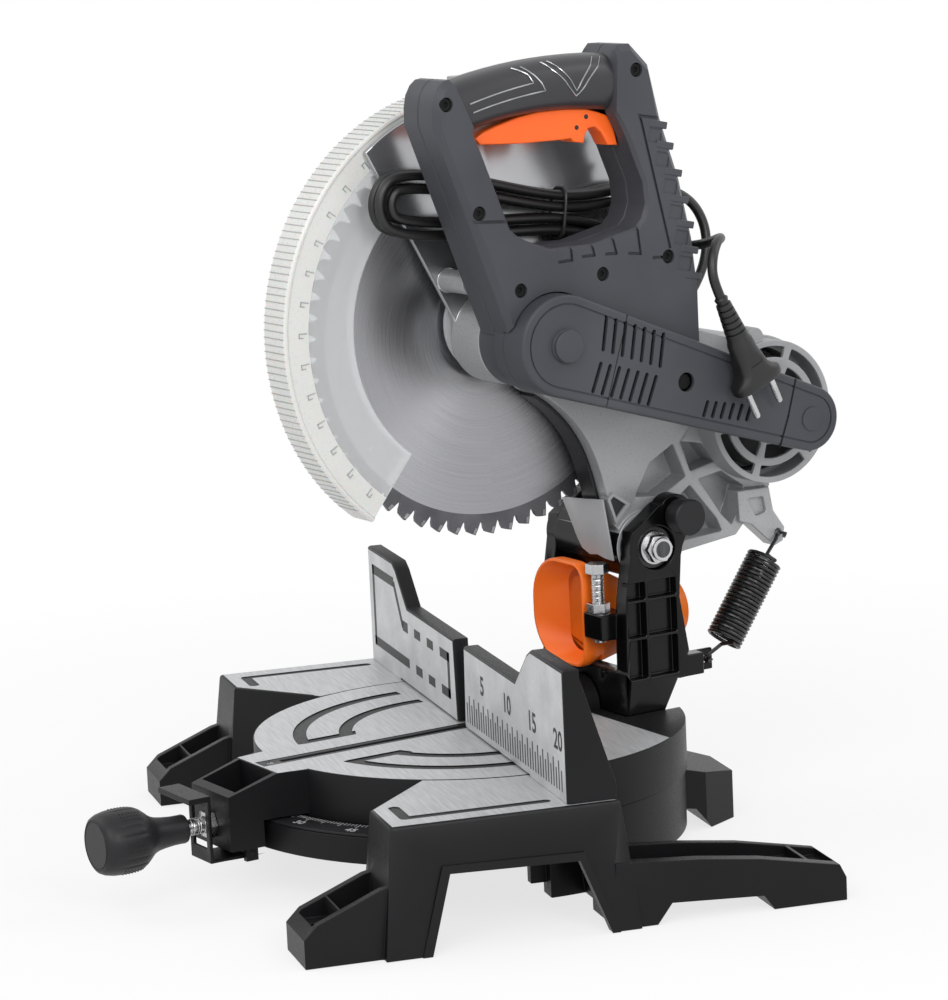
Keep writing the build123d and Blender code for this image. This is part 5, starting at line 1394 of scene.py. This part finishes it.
def makeThread(name, s):
    perTurn = threadSettings["perTurn"]
    count = round((s["to"] - s["from"]) / s["pitch"] * perTurn)
    points = []
    for k in range(count + 1):
        a = 2 * pi * k / perTurn
        p, q = s["middle"][0] + s["radius"] * cos(a), s["middle"][1] + s["radius"] * sin(a)
        at = s["from"] + (s["to"] - s["from"]) * k / count
        points.append((p, q, at) if s["axis"] == "Z" else (p, at, q))
    bm = bmesh.new()
    wire(bm, points, threadSettings["wire"], 1)
    addPiece(name, put(bm), s["body"], "zinc")


makeThread("stopThread", threadSettings["stop"])
makeThread("studThread", threadSettings["stud"])

# pivot nut: flange, hexagon and soft collar round the dark end of the bolt
nutSettings = {
    "pivot": (114.5, 180.5), "forms": [(10.8, 45.5, 47.4, 48), (9.7, 47.2, 53.4, 6), (7.3, 53.2, 56.2, 48)],
    "end": (5.3, 55.6, 56.35), "boltTo": 52.4, "soft": 0.6}


def makeNut(s):
    bm = bmesh.new()
    for radius, x0, x1, sides in s["forms"]:
        bevelled(bm, sharpEdges(barX(bm, radius, x0, x1, *s["pivot"], sides)), s["soft"])
    end = barX(bm, *s["end"], *s["pivot"])
    paintFaces({face for vert in end for face in vert.link_faces}, lambda face: 1)
    piece = addPiece("pivotNut", put(bm), "bracket", "zinc darkSteel")
    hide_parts("head_pivot_nut")
    trimmed("head_pivot_bolt", (s["boltTo"], 0, 0), (1, 0, 0), "zinc", "bright_steel", hardwareEdge)


makeNut(nutSettings)

# knob of the head lock pin
pinKnob = {
    "axis": (130.0, 200.0), "steps": 48, "sharp": 40,
    "profile": [(49.5, 0), (49.5, 8.6), (52, 10.4), (56, 11.3), (62, 11.6), (65.2, 11.5), (66, 10.6), (66, 0)]}


def makePinKnob(s):
    bm = lathe(bmesh.new(), s["profile"], (1, 0, 0), (0, *s["axis"]), s["steps"])
    piece = addPiece("pinKnob", put(bm), "lock_pin", "mouldedBlack", s["sharp"])
    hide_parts("head_lock_knob")


makePinKnob(pinKnob)
print("knob, spring and threads made")

# dust chute: a shallow dish with a lip, whose slanted floor leads to the funnel behind; a loop is its y, its left,
# right, low and high edge, and the radius of its left and right corners
dishSettings = {
    "funnelFrom": 92.6, "funnelEdge": 0.0004, "leftSteps": 10, "rightSteps": 6, "sharp": 40,
    "loops": [(79.4, -39.8, 14.4, 104.4, 167.4, 27, 9), (78.2, -41.0, 15.4, 103.4, 168.4, 28, 10),
        (78.4, -42.4, 16.6, 102.2, 169.6, 29, 11), (80.0, -42.8, 17.0, 101.8, 170.0, 29, 11),
        (86.0, -42.4, 16.9, 102.0, 169.8, 29, 11), (86.5, -36.5, 16.8, 102.6, 169.2, 27, 11),
        (93.6, -34.0, 16.6, 104.6, 166.6, 27, 11), (93.6, -20.0, 13.4, 108.6, 162.0, 12, 6),
        (92.4, -21.5, 13.0, 108.2, 162.4, 12, 6)]}


def dishOutline(s, y, left, right, low, high, large, small):
    points = []
    for x, z, radius, start in ((right - small, high - small, small, 0), (left + large, high - large, large, 90),
                                (left + large, low + large, large, 180), (right - small, low + small, small, 270)):
        steps = s["rightSteps"] if radius == small else s["leftSteps"]
        for a in [radians(start + 90 * k / steps) for k in range(steps + 1)]:
            points.append((x + radius * cos(a), y, z + radius * sin(a)))
    return points


def makeDish(s):
    loops = [dishOutline(s, *row) for row in s["loops"]]
    around = len(loops[0])
    bm = bmesh.new()
    sheet(bm, around, len(loops), lambda i, j: loops[j % len(loops)][i % around])
    addPiece("chuteDish", put(outward(bm)), "bracket", "orange", s["sharp"])
    trimmed("dust_chute", (0, s["funnelFrom"], 0), (0, -1, 0), "orange", "orange_plastic", s["funnelEdge"])


makeDish(dishSettings)

# hollow three-cornered boss at the foot of the arm, its floor painted black as painted shade
bossSettings = {
    "outer": [(87.3, 213.4), (91.7, 217.2), (104.8, 208.5), (93.2, 196.6)],
    "inner": [(89.6, 212.8), (92.1, 214.7), (101.4, 208.4), (93.6, 200.6)], "x0": 27.0, "x1": 36.0, "floor": 34.2,
    "over": 38.0}


def makeBoss(s):
    bm, tool = bmesh.new(), bmesh.new()
    slabX(bm, s["outer"], s["x0"], s["x1"])
    slabX(tool, s["inner"], s["floor"], s["over"])
    bm = outward(carved(bm, tool))

    def onFloor(face):
        return 1 if all(abs(vert.co.x - s["floor"]) < drawSettings["same"] for vert in face.verts) else 0

    # the floor of the hollow takes black rubber, as painted shade
    paintFaces(bm.faces, onFloor)
    addPiece("armBoss", put(bm), "head", "greyCasting rubber")


makeBoss(bossSettings)

# soft flap in front of the arm's foot
flapSettings = {
    "outline": [(-12, 209.5), (-6.5, 196), (-2, 184), (2, 177.6), (10, 174.4), (19, 175.6), (27, 174.0),
        (36, 173.6), (36, 214), (12, 211.5)], "thick": 1.4, "edge": 0.35, "footY": 90.0, "footZ": 180.0,
    "lean": 0.16, "keep": 0.2, "hung": (12.0, 84.6, 210.0)}


def makeFlap(s):
    bm = bmesh.new()
    face = bm.faces.new([bm.verts.new((x, s["footY"] - (z - s["footZ"]) * s["lean"], z)) for x, z in s["outline"]])
    pushed(bm, [face], (0, -s["thick"], 0))
    outward(bm)
    bevelled(bm, sharpEdges(bm.verts), s["edge"])
    piece = addPiece("softFlap", put(bm), "head", "flap")
    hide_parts("dust_flap")
    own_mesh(piece)


makeFlap(flapSettings)
print("chute, boss and flap made")
